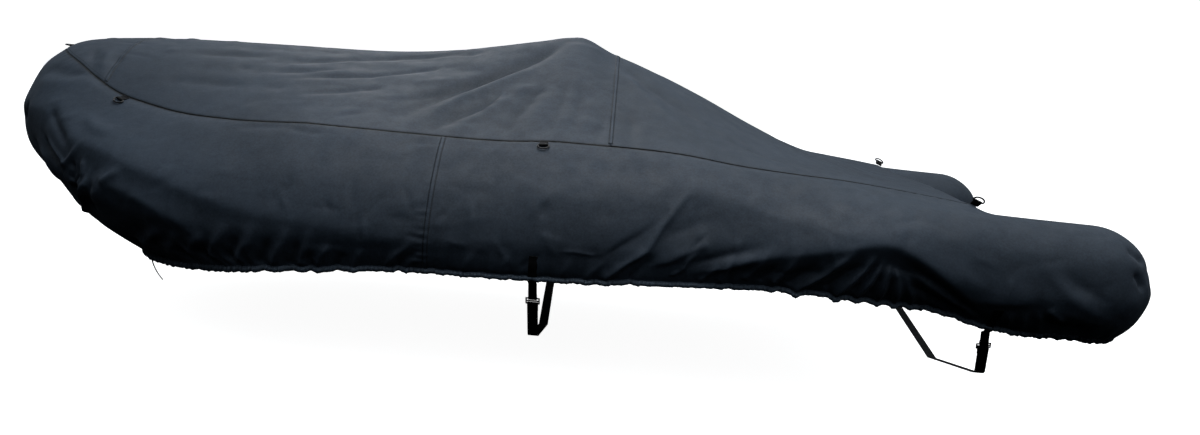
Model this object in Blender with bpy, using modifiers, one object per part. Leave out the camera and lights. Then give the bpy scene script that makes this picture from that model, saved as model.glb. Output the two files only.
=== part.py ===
"""Fitted cover for an inflatable boat, in the shape it takes in use: hollow, open underneath.

Metres, +Z up. +X runs from the bow to the stern and -Y is the port side. The origin lies on the underside
of the cloth at the peak of the top, where the cover is held up from inside.

The cloth panels share one surface. The side of it hangs between eight lines that run along the boat, from
the long seam down to the gathered hem. The top spans the two long seams, over a ridge with one peak.
"""

import math

import bmesh
import bpy
import numpy as np
from mathutils import Matrix, Vector

CLOTH = 0.002
SEAM_GAP = 0.0005
BOW_SEAM_GAP = 0.0013
LAID_ON = 0.0006
SEWN_ON = 0.0009
PORT = -1.0
STARBOARD = 1.0

# The straight sides end at BOW_START, and ahead of it every line follows a quarter of an ellipse to the bow.
BOW_START = -0.90
TRANSOM = 1.50
TUBE_ENDS = {PORT: 1.826, STARBOARD: 1.760}
SIDE_SEAM = -0.42
PEAK = 0.0
BOW_SEAM_ANGLE = 45.0
MIDDLE_SEAM = 0.16
SEAM_DIP = 1.438
FLAP_DROP = 0.17
FLAP_CLEARANCE = 0.007
CORNER_CLEARANCE = 0.004

# Steps of the cloth's grid: degrees round the bow, and how many steps in each stretch of the side.
BOW_STEP = 7.5
TUBE_TURNS = 10
SIDE_STRETCHES = (
    (BOW_START, SIDE_SEAM, 6),
    (SIDE_SEAM, PEAK, 6),
    (PEAK, MIDDLE_SEAM, 2),
    (MIDDLE_SEAM, SEAM_DIP, 19),
    (SEAM_DIP, TRANSOM, 1),
)
TUBE_STEPS = 4
TOP_COLUMNS = 15

# Lines of the side, from the long seam to the hem. Reach is the ellipse's length ahead of BOW_START, half
# is the distance from the centre plane, and drop is the share of the way down from the crown to the hem.
LINE_COLUMNS = ("line", "bow_reach", "bow_drop", "middle_half", "middle_drop", "stern_half", "stern_drop")
LINES = (
    ("seam", 1.130, 0.000, 0.630, 0.000, 0.630, 0.000),
    ("crown", 1.200, 0.000, 0.700, 0.000, 0.720, 0.000),
    ("upper", 1.238, 0.133, 0.785, 0.213, 0.810, 0.054),
    ("side", 1.256, 0.265, 0.838, 0.438, 0.885, 0.222),
    ("widest", 1.235, 0.433, 0.862, 0.640, 0.920, 0.510),
    ("under", 1.140, 0.588, 0.857, 0.775, 0.912, 0.676),
    ("tuck", 1.000, 0.800, 0.842, 0.899, 0.880, 0.842),
    ("hem", 0.733, 1.000, 0.820, 1.000, 0.820, 1.000),
)

# Heights along the bow, at an angle of the ellipse from the side (0) to the bow's tip (90).
BOW_COLUMNS = ("angle", "seam", "crown", "hem")
BOW_HEIGHTS = (
    (0, -0.382, -0.432, -0.872),
    (14, -0.395, -0.447, -0.889),
    (24, -0.392, -0.445, -0.902),
    (32, -0.374, -0.430, -0.913),
    (40, -0.350, -0.409, -0.922),
    (48, -0.306, -0.365, -0.930),
    (56, -0.263, -0.322, -0.936),
    (66, -0.236, -0.296, -0.942),
    (78, -0.222, -0.284, -0.948),
    (90, -0.217, -0.280, -0.952),
)

# Heights along the straight side. At the transom the seam dips onto the inner face of the tube end.
SIDE_COLUMNS = ("x", "seam", "crown", "hem")
SIDE_HEIGHTS = (
    (-0.90, -0.382, -0.432, -0.872),
    (-0.45, -0.384, -0.434, -0.848),
    (-0.22, -0.381, -0.429, -0.840),
    (0.00, -0.366, -0.414, -0.832),
    (0.40, -0.370, -0.415, -0.811),
    (0.62, -0.392, -0.430, -0.805),
    (0.80, -0.402, -0.435, -0.803),
    (1.00, -0.410, -0.437, -0.806),
    (1.21, -0.428, -0.447, -0.812),
    (1.40, -0.448, -0.462, -0.838),
    (1.438, -0.454, -0.465, -0.846),
    (1.50, -0.491, -0.470, -0.857),
    (1.85, -0.497, -0.476, -0.862),
)

# The ridge of the top, and how its slope down to the seams is shaped: 1 is a straight slope, 2.5 a dome.
RIDGE_COLUMNS = ("x", "height", "fullness")
RIDGE = (
    (-2.03, -0.217, 2.4),
    (-1.98, -0.193, 2.4),
    (-1.86, -0.170, 2.4),
    (-1.72, -0.156, 2.4),
    (-1.54, -0.146, 2.1),
    (-1.13, -0.133, 1.5),
    (-0.72, -0.118, 1.2),
    (-0.52, -0.095, 1.1),
    (-0.32, -0.059, 1.05),
    (-0.16, -0.026, 1.0),
    (0.00, 0.0034, 1.0),
    (0.14, -0.050, 1.05),
    (0.29, -0.099, 1.1),
    (0.51, -0.186, 1.2),
    (0.72, -0.280, 1.3),
    (0.90, -0.350, 1.5),
    (1.06, -0.390, 1.8),
    (1.25, -0.432, 2.0),
    (1.50, -0.470, 2.0),
)

# Main folds of the sides, as soft ridges (rise above 0) or troughs between two points seen from the side.
SIDE_FOLD_COLUMNS = ("from_x", "from_z", "to_x", "to_z", "width", "rise")
SIDE_FOLDS = (
    (0.17, -0.549, 0.40, -0.480, 0.050, 0.010),
    (0.40, -0.480, 0.50, -0.466, 0.050, 0.014),
    (0.50, -0.466, 0.73, -0.534, 0.050, 0.018),
    (0.73, -0.534, 0.96, -0.576, 0.050, 0.014),
    (0.96, -0.576, 1.16, -0.602, 0.050, 0.020),
    (1.16, -0.602, 1.32, -0.700, 0.045, 0.014),
    (0.52, -0.610, 0.95, -0.700, 0.060, -0.012),
    (0.98, -0.700, 1.20, -0.720, 0.050, -0.012),
    (0.21, -0.771, 0.45, -0.510, 0.035, 0.010),
    (0.16, -0.690, 0.36, -0.560, 0.035, -0.010),
    (1.59, -0.584, 1.80, -0.740, 0.035, 0.008),
    (-1.85, -0.490, -1.74, -0.610, 0.035, 0.014),
    (-1.60, -0.620, -1.72, -0.790, 0.035, 0.014),
    (-1.66, -0.530, -1.46, -0.591, 0.040, 0.010),
    (-1.46, -0.591, -1.08, -0.687, 0.040, 0.012),
    (-1.52, -0.710, -1.28, -0.760, 0.050, -0.014),
)

FAR_FOLD_SHIFT = -0.05

# Main folds of the top, the same way, seen from above on the port side.
TOP_FOLD_COLUMNS = ("from_x", "from_y", "to_x", "to_y", "width", "rise")
TOP_FOLDS = (
    (-0.05, -0.03, -0.62, -0.60, 0.045, -0.006),
    (-0.03, -0.05, -0.32, -0.60, 0.040, 0.006),
    (0.00, -0.05, -0.10, -0.60, 0.040, -0.005),
    (0.12, -0.05, 0.30, -0.60, 0.045, 0.005),
)

# D-rings on tabs: where the seam carries them, the tilt of the tab up from the cloth, and a lift that
# clears the cloth where it curves under the tab.
RING_COLUMNS = ("name", "place", "tilt", "lift")
RING_PLACES = (
    ("bow_port", ("bow", PORT, 37.5), 14, 0.0),
    ("bow_starboard", ("bow", STARBOARD, 37.5), 14, 0.0006),
    ("middle_port", ("side", PORT, -0.07), 3, 0.0),
    ("middle_starboard", ("side", STARBOARD, -0.07), 3, 0.0),
    ("stern_port", ("side", PORT, 1.438), 50, 0.0010),
    ("stern_starboard", ("side", STARBOARD, 1.438), 40, 0.0014),
    ("bow_tip", ("bow", PORT, 90.0), 45, 0.0),
)

WEBBING = 0.0015
TAB_WIDTH = 0.030
TAB_LENGTH = 0.028
TAB_ROOT = 0.007
RING_WIDTH = 0.045
RING_DEPTH = 0.024
RING_WIRE = 0.0028

# Belly straps: where they are sewn to the side, and the corner and middle of their route underneath.
STRAP_COLUMNS = ("name", "x", "sewn_from", "chine", "keel")
STRAPS = (
    ("middle", -0.060, -0.729, (-0.056, -0.605, -1.078), (-0.050, 0.0, -1.200)),
    ("stern", 1.475, -0.756, (1.570, -0.590, -1.068), (1.600, 0.0, -1.190)),
)
STRAP_WIDTH = 0.038
STRAP_TAB_WIDTH = 0.030
STRAP_TAIL = 0.045
BUCKLE_LENGTH = 0.034
BUCKLE_WIDTH = 0.050
BUCKLE_BAR = 0.0024
BUCKLE_HANG = 0.120

TIE_ANGLE = 67.5
TIE_WIDTH = 0.012
TIE_LENGTH = 0.135
TIE_CURL = 0.050
TIE_SWAY = 0.006
TIE_START = (0.0, 0.0, -0.0004)


def column(table, columns, name):
    return np.array([row[columns.index(name)] for row in table], float)


def smooth(xs, ys, x):
    """A smooth curve through the points of a table, with no overshoot, read at x."""
    steps = np.diff(xs)
    slopes = np.diff(ys) / steps
    tangents = np.concatenate([[slopes[0]], (slopes[:-1] + slopes[1:]) / 2, [slopes[-1]]])
    flat = np.concatenate([[False], slopes[:-1] * slopes[1:] <= 0, [False]])
    tangents[flat] = 0.0
    i = int(np.clip(np.searchsorted(xs, x) - 1, 0, len(steps) - 1))
    t = min(max((x - xs[i]) / steps[i], 0.0), 1.0)
    start = (1 + 2 * t) * (1 - t) ** 2 * ys[i] + t * (1 - t) ** 2 * steps[i] * tangents[i]
    return start + t * t * (3 - 2 * t) * ys[i + 1] + t * t * (t - 1) * steps[i] * tangents[i + 1]


def read(table, columns, name, at):
    return smooth(column(table, columns, columns[0]), column(table, columns, name), at)


def ease(t):
    t = min(max(t, 0.0), 1.0)
    return t * t * (3 - 2 * t)


def bow_lines(angle, side):
    """The eight line points at an angle of the bow's ellipses."""
    blend = ease(angle / 60.0)
    seam, crown, hem = (read(BOW_HEIGHTS, BOW_COLUMNS, name, angle) for name in BOW_COLUMNS[1:])
    points = []
    for line, reach, bow_drop, half, middle_drop, _, _ in LINES:
        drop = middle_drop + blend * (bow_drop - middle_drop)
        z = seam if line == "seam" else crown + drop * (hem - crown)
        x = BOW_START - reach * math.sin(math.radians(angle))
        points.append((x, side * half * math.cos(math.radians(angle)), z))
    return np.array(points)


def side_lines(x, side):
    """The eight line points at a place along the straight side, out to the tube end."""
    blend = ease((x - 0.55) / 0.90)
    seam, crown, hem = (read(SIDE_HEIGHTS, SIDE_COLUMNS, name, x) for name in SIDE_COLUMNS[1:])
    points = []
    for line, _, _, middle_half, middle_drop, stern_half, stern_drop in LINES:
        drop = middle_drop + blend * (stern_drop - middle_drop)
        half = middle_half + blend * (stern_half - middle_half)
        z = seam if line == "seam" else crown + drop * (hem - crown)
        points.append((x, side * half, z))
    return np.array(points)


def end_lines(turn, x, side):
    """The line points about the tube's axis: turn 0 is the outer face, 90 the end and 180 the inner face."""
    outer = side_lines(x, side)
    axis = outer[1]
    radius = side * (outer[:, 1] - axis[1])
    angle = math.radians(turn)
    points = outer.copy()
    points[:, 0] = x + radius * math.sin(angle)
    points[:, 1] = axis[1] + side * radius * math.cos(angle)
    points[0] = axis
    return points


def lines_at(place):
    kind, side, where = place
    if kind == "bow":
        return bow_lines(where, side)
    if kind == "side":
        return side_lines(where, side)
    if kind == "turn":
        return end_lines(where, TUBE_ENDS[side], side)
    return end_lines(180.0, where, side)


def fill_rows(points, first_split=2, splits=2):
    """Rows of the side's grid: the lines, with rounded rows between them from line first_split on."""
    rows = [points[k] for k in range(first_split)]
    last = len(points) - 1
    for k in range(first_split, last):
        before, a, b, after = points[k - 1], points[k], points[k + 1], points[min(k + 2, last)]
        for s in range(splits):
            t = s / splits
            rows.append(
                0.5
                * (
                    2 * a
                    + (b - before) * t
                    + (2 * before - 5 * a + 4 * b - after) * t * t
                    + (3 * a - before - 3 * b + after) * t**3
                )
            )
    return np.array(rows + [points[last]])


def fold_rise(table, u, v):
    """Height of the folds of a table at a point: each is a soft ridge that fades at its ends."""
    rise = 0.0
    for from_u, from_v, to_u, to_v, width, height in table:
        along = np.array([to_u - from_u, to_v - from_v])
        length = np.linalg.norm(along)
        offset = np.array([u - from_u, v - from_v])
        t = offset @ along / length**2
        across = abs(offset @ np.array([-along[1], along[0]])) / length
        past = max(0.0, -t, t - 1.0) * length
        rise += height * math.exp(-((across / width) ** 2) - (past / width) ** 2)
    return rise


def grid_normals(grid):
    along = np.gradient(grid, axis=0)
    down = np.gradient(grid, axis=1)
    normals = np.cross(along, down)
    return normals / np.maximum(np.linalg.norm(normals, axis=2, keepdims=True), 1e-9)


def side_grid(places):
    """The side surface at a list of places: rows run from the seam to the hem, folds included."""
    grid = np.array([fill_rows(lines_at(place)) for place in places])
    normals = grid_normals(grid)
    for i, (kind, side, _) in enumerate(places):
        shift = 0.0 if side == PORT else FAR_FOLD_SHIFT
        for j in range(1, grid.shape[1] if kind in ("bow", "side") else 0):
            x, _, z = grid[i, j]
            outward = normals[i, j] * (1.0 if normals[i, j, 1] * side > 0 else -1.0)
            grid[i, j] += outward * fold_rise(SIDE_FOLDS, x - shift, z)
    return grid


def side_places(side):
    """Every place along one side from the bow's tip to the tube end, the same ones for every panel."""
    places = [("bow", side, angle) for angle in np.arange(90.0, 0.0, -BOW_STEP)]
    for start, stop, steps in SIDE_STRETCHES + ((TRANSOM, TUBE_ENDS[side], TUBE_STEPS),):
        places += [("side", side, x) for x in np.linspace(start, stop, steps, endpoint=False)]
    return places + [("side", side, TUBE_ENDS[side])]


def index_of(places, kind, where):
    return min(range(len(places)), key=lambda i: (places[i][0] != kind, abs(places[i][2] - where)))


def top_row(x, half, seam_z, columns):
    """One row of the top at a place along the boat, from port to starboard."""
    ridge = read(RIDGE, RIDGE_COLUMNS, "height", x)
    fullness = read(RIDGE, RIDGE_COLUMNS, "fullness", x)
    soft = 0.04
    row = []
    for t in columns:
        away = (math.sqrt(t * t + soft * soft) - soft) / (math.sqrt(1 + soft * soft) - soft)
        z = ridge + (seam_z - ridge) * away**fullness
        y = t * half
        z += fold_rise(TOP_FOLDS, x, -abs(y)) * (1 - t**4)
        row.append((x, y, z))
    return row


def mesh_object(name, vertices, faces, material):
    mesh = bpy.data.meshes.new(name)
    mesh.from_pydata([tuple(v) for v in vertices], [], faces)
    work = bmesh.new()
    work.from_mesh(mesh)
    bmesh.ops.remove_doubles(work, verts=work.verts, dist=1e-5)
    bmesh.ops.recalc_face_normals(work, faces=work.faces)
    work.to_mesh(mesh)
    work.free()
    mesh.materials.append(material)
    mesh.shade_smooth()
    piece = bpy.data.objects.new(name, mesh)
    cover.objects.link(piece)
    return piece


def point_outwards(piece, centre):
    """Turns an open sheet's faces so that they look away from a point."""
    total = 0.0
    for face in piece.data.polygons:
        total += (face.center - Vector(centre)).dot(face.normal) * face.area
    if total < 0:
        piece.data.flip_normals()


def thicken(piece, thickness, offset):
    solidify = piece.modifiers.new("thickness", "SOLIDIFY")
    solidify.thickness = thickness
    solidify.offset = offset


def grid_faces(rows, columns, start=0):
    faces = []
    for i in range(rows - 1):
        for j in range(columns - 1):
            a = start + i * columns + j
            faces.append((a, a + 1, a + columns + 1, a + columns))
    return faces


def cloth(name, grids, centre):
    """A panel of cloth from one or more grids that share their common edges."""
    vertices, faces = [], []
    for grid in grids:
        faces += grid_faces(grid.shape[0], grid.shape[1], len(vertices))
        vertices += list(grid.reshape(-1, 3))
    piece = mesh_object(name, vertices, faces, CLOTH_MATERIAL)
    point_outwards(piece, centre)
    thicken(piece, CLOTH, -1)
    return piece


def bow_band():
    """The side of the bow, one length of cloth from the port side seam round to the starboard one."""
    end = index_of(PLACES[PORT], "side", SIDE_SEAM)
    grid = np.concatenate([SURFACE[PORT][end::-1], SURFACE[STARBOARD][1 : end + 1]])
    grid[[0, -1], :, 0] -= SEAM_GAP / 2
    cloth("bow_band", [grid], (-1.1, 0, -0.6))


def side_panel(name, side):
    """The after side: the long side, the rounded tube end, and its inner face up to the transom."""
    start = index_of(PLACES[side], "side", SIDE_SEAM)
    transom = index_of(PLACES[side], "side", TRANSOM)
    long_side = SURFACE[side][start : transom + 1].copy()
    long_side[0, :, 0] += SEAM_GAP / 2
    turn = [("turn", side, a) for a in np.linspace(0, 180, TUBE_TURNS + 1)]
    inner = [("inner", side, x) for x in np.linspace(TUBE_ENDS[side], TRANSOM, TUBE_STEPS + 1)]
    beyond = side_grid(turn[1:] + inner[1:])
    tube_end = np.concatenate([SURFACE[side][transom:], beyond])[:, 1:]
    tube_end[-1, 1] = long_side[-1, 0]
    cloth(name, [long_side, tube_end], (0.9, side * 0.72, -0.66))


def seam_edge(place):
    """The long seam's point, drawn in a little for the top's edge."""
    kind, side, where = place
    x, y, z = lines_at(place)[0]
    if kind == "side":
        return x, abs(y) - SEAM_GAP, z
    reach, half = LINES[0][1], LINES[0][3]
    ahead = math.sin(math.radians(where)) / reach
    out = math.cos(math.radians(where)) / half
    inset = SEAM_GAP + ease(where / 60.0) * (BOW_SEAM_GAP - SEAM_GAP)
    scale = inset / math.hypot(ahead, out)
    return x + ahead * scale, max(abs(y) - out * scale, 0.0), z


def top_panel(name, places, trims, extra_rows=()):
    """A panel of the top over a run of places, with its first and last rows moved a little for the seams."""
    columns = np.linspace(-1, 1, TOP_COLUMNS)
    rows = []
    for i, place in enumerate(places):
        x, half, z = seam_edge(place)
        if i in (0, len(places) - 1):
            x += trims[i > 0]
        if extra_rows and i == len(places) - 1:
            half -= CORNER_CLEARANCE
        rows.append(top_row(x, half, z, columns))
    for x, half, z in extra_rows:
        rows.append([(x, t * half, z) for t in columns])
    cloth(name, [np.array(rows)], (-0.1, 0, -1.2))


def tops():
    gap = SEAM_GAP / 2
    places = PLACES[PORT]
    bow, middle, aft = (
        index_of(places, kind, where)
        for kind, where in (("bow", BOW_SEAM_ANGLE), ("side", MIDDLE_SEAM), ("side", TRANSOM))
    )
    top_panel("bow_cap", places[: bow + 1], (0, -gap))
    top_panel("fore_top", places[bow : middle + 1], (gap, -gap))
    inner = fill_rows(end_lines(180.0, TRANSOM, STARBOARD))[1:]
    flap = []
    for share in (0.02, 0.12, 0.25, 0.45, 0.72, 1.0):
        z = side_lines(TRANSOM, STARBOARD)[0, 2] - share * FLAP_DROP
        half = np.interp(-z, -inner[:, 2], inner[:, 1]) - FLAP_CLEARANCE
        flap.append((TRANSOM + 0.010 + 0.022 * min(share * 3, 1), half, z))
    top_panel("aft_top", places[middle : aft + 1], (gap, -0.001), flap)


def ribbon(name, path, width):
    """A strip of webbing along a path of points, each with the direction of the strip's width there."""
    vertices = []
    for i, (point, across) in enumerate(path):
        tangent = (path[min(i + 1, len(path) - 1)][0] - path[max(i - 1, 0)][0]).normalized()
        across = (across - tangent * across.dot(tangent)).normalized()
        vertices += [point - across * width / 2, point + across * width / 2]
    piece = mesh_object(name, vertices, grid_faces(len(path), 2), WEBBING_MATERIAL)
    thicken(piece, WEBBING, 0)


def with_width(points, across):
    return [(Vector(point), Vector(across)) for point in points]


def side_frame(place, below):
    """At a station of the seam: its point, the way along it, down the cloth, and out from the cloth."""
    kind, side, where = place
    grid = SURFACE[side]
    i = index_of(PLACES[side], kind, where)
    root = Vector(grid[i, 0])
    down = (Vector(grid[i, 1]) - root).normalized()
    along = Vector(grid[i + 1, 0] - grid[i - 1, 0]) if i else Vector((0, 1, 0))
    out = along.cross(down).normalized()
    if out.z < 0:
        out = -out
    along = down.cross(out).normalized()
    return root + down * below, along, down, out


def ring_and_tab(name, place, tilt, lift):
    """A D-ring held in a loop of webbing that is sewn at the long seam."""
    root, along, down, out = side_frame(place, 0.002)
    turn = math.radians(tilt)
    ahead = down * math.cos(turn) + out * math.sin(turn)
    rise = out * math.cos(turn) - down * math.sin(turn)
    loop = RING_WIRE + 0.0004 + WEBBING / 2
    root = root + out * (LAID_ON + WEBBING / 2 + lift)
    start = root + down * TAB_ROOT
    reach = TAB_LENGTH - TAB_ROOT

    def at(forward, up):
        return start + ahead * forward + rise * up

    path = [root, start, at(reach * 0.6, 0)]
    for k in range(10):
        a = math.radians(-90 + 22.5 * k)
        path.append(at(reach + loop * math.cos(a), loop + loop * math.sin(a)))
    layer = WEBBING + 0.0005
    bend = (out + rise) * (layer / (1 + math.cos(turn)))
    path += [at(reach * 0.35, layer + 0.0004), start + bend, root + out * layer]
    ribbon("tab_" + name, with_width(path, along), TAB_WIDTH)

    centre = at(reach, loop)
    half = RING_WIDTH / 2 - RING_WIRE
    corner = 0.004
    outline = [(-half + corner, 0.0), (half - corner, 0.0), (half - 0.001, 0.001), (half, corner)]
    depth = RING_DEPTH - RING_WIRE - corner
    for k in range(1, 10):
        a = math.radians(18 * k)
        outline.append((half * math.cos(a), corner + depth * math.sin(a)))
    outline += [(-half, corner), (-half + 0.001, 0.001)]
    curve = bpy.data.curves.new("ring_" + name, "CURVE")
    curve.dimensions = "3D"
    curve.bevel_depth = RING_WIRE
    curve.bevel_resolution = 1
    spline = curve.splines.new("POLY")
    spline.points.add(len(outline) - 1)
    for point, (u, v) in zip(spline.points, outline):
        point.co = (*(centre + along * u + ahead * v), 1.0)
    spline.use_cyclic_u = True
    curve.materials.append(PLASTIC_MATERIAL)
    cover.objects.link(bpy.data.objects.new("ring_" + name, curve))


def surface_path(side, x, from_z, offset):
    """A ribbon's path down the outer face of the side from a height to the hem, a little off the cloth."""
    places = PLACES[side]
    before = next(i for i, (kind, _, where) in enumerate(places) if kind == "side" and where > x) - 1
    share = (x - places[before][2]) / (places[before + 1][2] - places[before][2])
    normals = grid_normals(SURFACE[side])
    section, normals = (
        grid[before] * (1 - share) + grid[before + 1] * share for grid in (SURFACE[side], normals)
    )
    across = SURFACE[side][before + 1] - SURFACE[side][before]
    path = []
    levels = [from_z] + [z for z in section[2:, 2] if z < from_z - 0.005]
    for z in levels:
        point, normal, width = (
            np.array([np.interp(-z, -section[2:, 2], rows[2:, k]) for k in range(3)])
            for rows in (section, normals, across)
        )
        if normal[1] * side < 0:
            normal = -normal
        path.append((Vector(point + normal / np.linalg.norm(normal) * offset), Vector(width)))
    return path


def loop_end(bar, before, back, radius, tail):
    """A webbing end: up to a bar, half round it, and back along itself with a short tail."""
    direction = (bar - before).normalized()
    out = (back - direction * back.dot(direction)).normalized()
    points = [bar - direction * 0.008 + out * radius]
    for k in range(9):
        a = math.radians(90 - 22.5 * k)
        points.append(bar + direction * radius * math.cos(a) + out * radius * math.sin(a))
    points.append(bar - direction * tail * 0.5 - out * radius * 0.6)
    points.append(bar - direction * tail - out * (radius * 0.5))
    return points


def buckle(name, centre, along, down, out):
    """A two-slot slider: a rounded frame with a slot on each side of its middle bar."""
    bpy.ops.mesh.primitive_cube_add(size=1)
    frame = bpy.context.object
    frame.name = "buckle_" + name
    frame.data.transform(Matrix.Diagonal((BUCKLE_WIDTH, BUCKLE_LENGTH, 2 * BUCKLE_BAR, 1)))
    place_axes(frame, centre, along, down, out)
    move_to(frame, cover)
    frame.data.materials.append(PLASTIC_MATERIAL)
    slot_width = BUCKLE_WIDTH - 4 * BUCKLE_BAR
    slot_length = (BUCKLE_LENGTH - 6 * BUCKLE_BAR) / 2
    for k, shift in enumerate((-1, 1)):
        bpy.ops.mesh.primitive_cube_add(size=1)
        slot = bpy.context.object
        slot.name = "slot_%s_%d" % (name, k)
        slot.data.transform(Matrix.Diagonal((slot_width, slot_length, 0.02, 1)))
        place_axes(slot, centre + down * shift * (slot_length / 2 + BUCKLE_BAR), along, down, out)
        move_to(slot, cutters)
        slot.hide_render = True
        slot.display_type = "WIRE"
        cut = frame.modifiers.new("slot", "BOOLEAN")
        cut.object = slot
        cut.operation = "DIFFERENCE"


def place_axes(piece, centre, along, down, out):
    axes = Matrix((along, down, out)).transposed().to_4x4()
    piece.matrix_world = Matrix.Translation(centre) @ axes


def move_to(piece, collection):
    for old in list(piece.users_collection):
        old.objects.unlink(piece)
    collection.objects.link(piece)


def belly_strap(name, x, sewn_from, chine, keel):
    """A strap underneath: a tab sewn to each side, a buckle on each tab, and one strap between them."""
    ends = {}
    for label, side in (("port", PORT), ("starboard", STARBOARD)):
        tab = surface_path(side, x, sewn_from, SEWN_ON + WEBBING / 2)
        hem = tab[-1][0]
        corner = Vector((chine[0], side * -chine[1], chine[2]))
        down = (corner - hem).normalized()
        along = Vector((1, 0, 0))
        along = (along - down * along.dot(down)).normalized()
        out = along.cross(down)
        if out.y * side < 0:
            along, out = -along, -out
        centre = hem + down * BUCKLE_HANG
        bar_gap = BUCKLE_LENGTH / 2 - BUCKLE_BAR
        radius = BUCKLE_BAR * math.sqrt(2) + 0.0004 + WEBBING / 2
        upper_bar = centre - down * bar_gap
        lower_bar = centre + down * bar_gap
        loop = [hem + down * 0.012] + loop_end(upper_bar, hem, out, radius, 0.02)
        ribbon("strap_tab_%s_%s" % (name, label), tab + with_width(loop, along), STRAP_TAB_WIDTH)
        buckle("%s_%s" % (name, label), centre, along, down, out)
        run = strap_run(lower_bar, corner, Vector(keel))
        hook = loop_end(lower_bar, corner, out, radius, STRAP_TAIL)[::-1]
        forward = along if along.x > 0 else -along
        ends[side] = with_width(hook, forward) + with_width(run, forward)
    ribbon("strap_" + name, ends[PORT] + ends[STARBOARD][-2::-1], STRAP_WIDTH)


def strap_run(bar, corner, keel):
    """Points from a buckle round the chine to the keel, with a soft bend at the chine."""
    bend = 0.03
    first = corner + (bar - corner).normalized() * bend
    last = corner + (keel - corner).normalized() * bend
    points = []
    for k in range(7):
        t = k / 6
        points.append(first * (1 - t) ** 2 + corner * 2 * t * (1 - t) + last * t * t)
    points.append((last + keel) / 2)
    points.append(keel)
    return points


def bow_tie():
    """The loose end of the draw tape that leaves the hem beside the bow."""
    hem = SURFACE[PORT][index_of(PLACES[PORT], "bow", TIE_ANGLE), -1]
    start = Vector(hem) + Vector(TIE_START)
    steps = 12
    path = []
    for k in range(steps + 1):
        t = k / steps
        path.append(start + Vector((TIE_CURL * t**2.2, -TIE_SWAY * math.sin(2.5 * t), -TIE_LENGTH * t * (1 - 0.03 * t))))
    ribbon("bow_tie", with_width(path, (0.75, -0.66, 0)), TIE_WIDTH)


def material(name, colour, roughness, metallic=0.0):
    made = bpy.data.materials.new(name)
    made.use_nodes = True
    shader = made.node_tree.nodes["Principled BSDF"]
    shader.inputs["Base Color"].default_value = (*colour, 1.0)
    shader.inputs["Roughness"].default_value = roughness
    shader.inputs["Metallic"].default_value = metallic
    return made


def collection(name):
    made = bpy.data.collections.new(name)
    bpy.context.scene.collection.children.link(made)
    return made


for old in list(bpy.data.objects):
    bpy.data.objects.remove(old, do_unlink=True)
cover = collection("boat_cover")
cutters = collection("cutters")
CLOTH_MATERIAL = material("coated_cloth", (0.012, 0.016, 0.022), 0.6)
WEBBING_MATERIAL = material("webbing", (0.006, 0.006, 0.007), 0.7)
PLASTIC_MATERIAL = material("ring_plastic", (0.01, 0.01, 0.011), 0.35)

PLACES = {side: side_places(side) for side in (PORT, STARBOARD)}
SURFACE = {side: side_grid(PLACES[side]) for side in (PORT, STARBOARD)}

tops()
bow_band()
side_panel("port_side", PORT)
side_panel("starboard_side", STARBOARD)
for ring in RING_PLACES:
    ring_and_tab(*ring)
for strap in STRAPS:
    belly_strap(*strap)
bow_tie()
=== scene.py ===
"""The look of the fitted boat cover: its cloth with folds, seams and stitching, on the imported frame.

Metres, +Z up, +X from bow to stern, -Y to port. The cloth follows the lines that the solids follow, on a
finer grid, and carries the folds of FOLDS and TOP_FOLDS, which are placed by their position on the cloth.
"""

import math

import bmesh
import bpy
import numpy as np
from mathutils import Matrix, Vector


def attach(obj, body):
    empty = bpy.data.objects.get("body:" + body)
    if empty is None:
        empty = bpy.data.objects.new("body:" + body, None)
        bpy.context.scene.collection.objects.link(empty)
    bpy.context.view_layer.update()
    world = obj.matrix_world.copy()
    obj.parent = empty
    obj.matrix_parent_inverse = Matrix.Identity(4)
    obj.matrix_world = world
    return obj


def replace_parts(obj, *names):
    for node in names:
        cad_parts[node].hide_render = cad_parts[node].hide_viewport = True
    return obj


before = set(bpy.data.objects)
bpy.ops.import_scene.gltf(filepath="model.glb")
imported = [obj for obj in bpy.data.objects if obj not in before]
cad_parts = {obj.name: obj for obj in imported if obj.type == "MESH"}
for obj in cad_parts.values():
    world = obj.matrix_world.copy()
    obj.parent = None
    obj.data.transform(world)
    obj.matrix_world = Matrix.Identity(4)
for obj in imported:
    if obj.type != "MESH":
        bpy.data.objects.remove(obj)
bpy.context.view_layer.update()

PORT = -1.0
STARBOARD = 1.0
SIDES = (("port", PORT), ("starboard", STARBOARD))
BOW_START = -0.90
TRANSOM = 1.50
ROUNDED_ENDS = {PORT: 1.826, STARBOARD: 1.760}
ROUNDED_LENGTH = 0.30
SIDE_SEAM = -0.42
BOW_SEAM_ANGLE = 45.0
MIDDLE_SEAM = 0.16
SEAM_GAP = 0.0008
CLOTH = 0.0012

# The flap behind the transom, and its distance from what is beside and ahead of it.
FLAP_DROP = 0.17
FLAP_CLEARANCE = 0.009
FLAP_START = 0.006
FLAP_TOP = 0.010
FLAP_OUT = 0.022

# The hem: the height below which it hangs, how steeply it falls, how it turns inwards, where that fades out
# along the side, and how far the elastic draws it up there.
HANG = 0.030
HANG_FALL = 0.80
HANG_INWARD = 6.0
HANG_ENDS = 1.40
HANG_FADE = 0.30
HEM_LIFT = 0.019
HEM_LIFT_START = 0.45
HEM_LIFT_HEIGHT = 0.14

# The dip of the cloth beside a long seam, as its depth and width, on the side and on the top.
SIDE_DIP = (0.0026, 0.0046)
TOP_DIP = (0.0022, 0.0035)
SEAM_ENDS = 2.0

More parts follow.
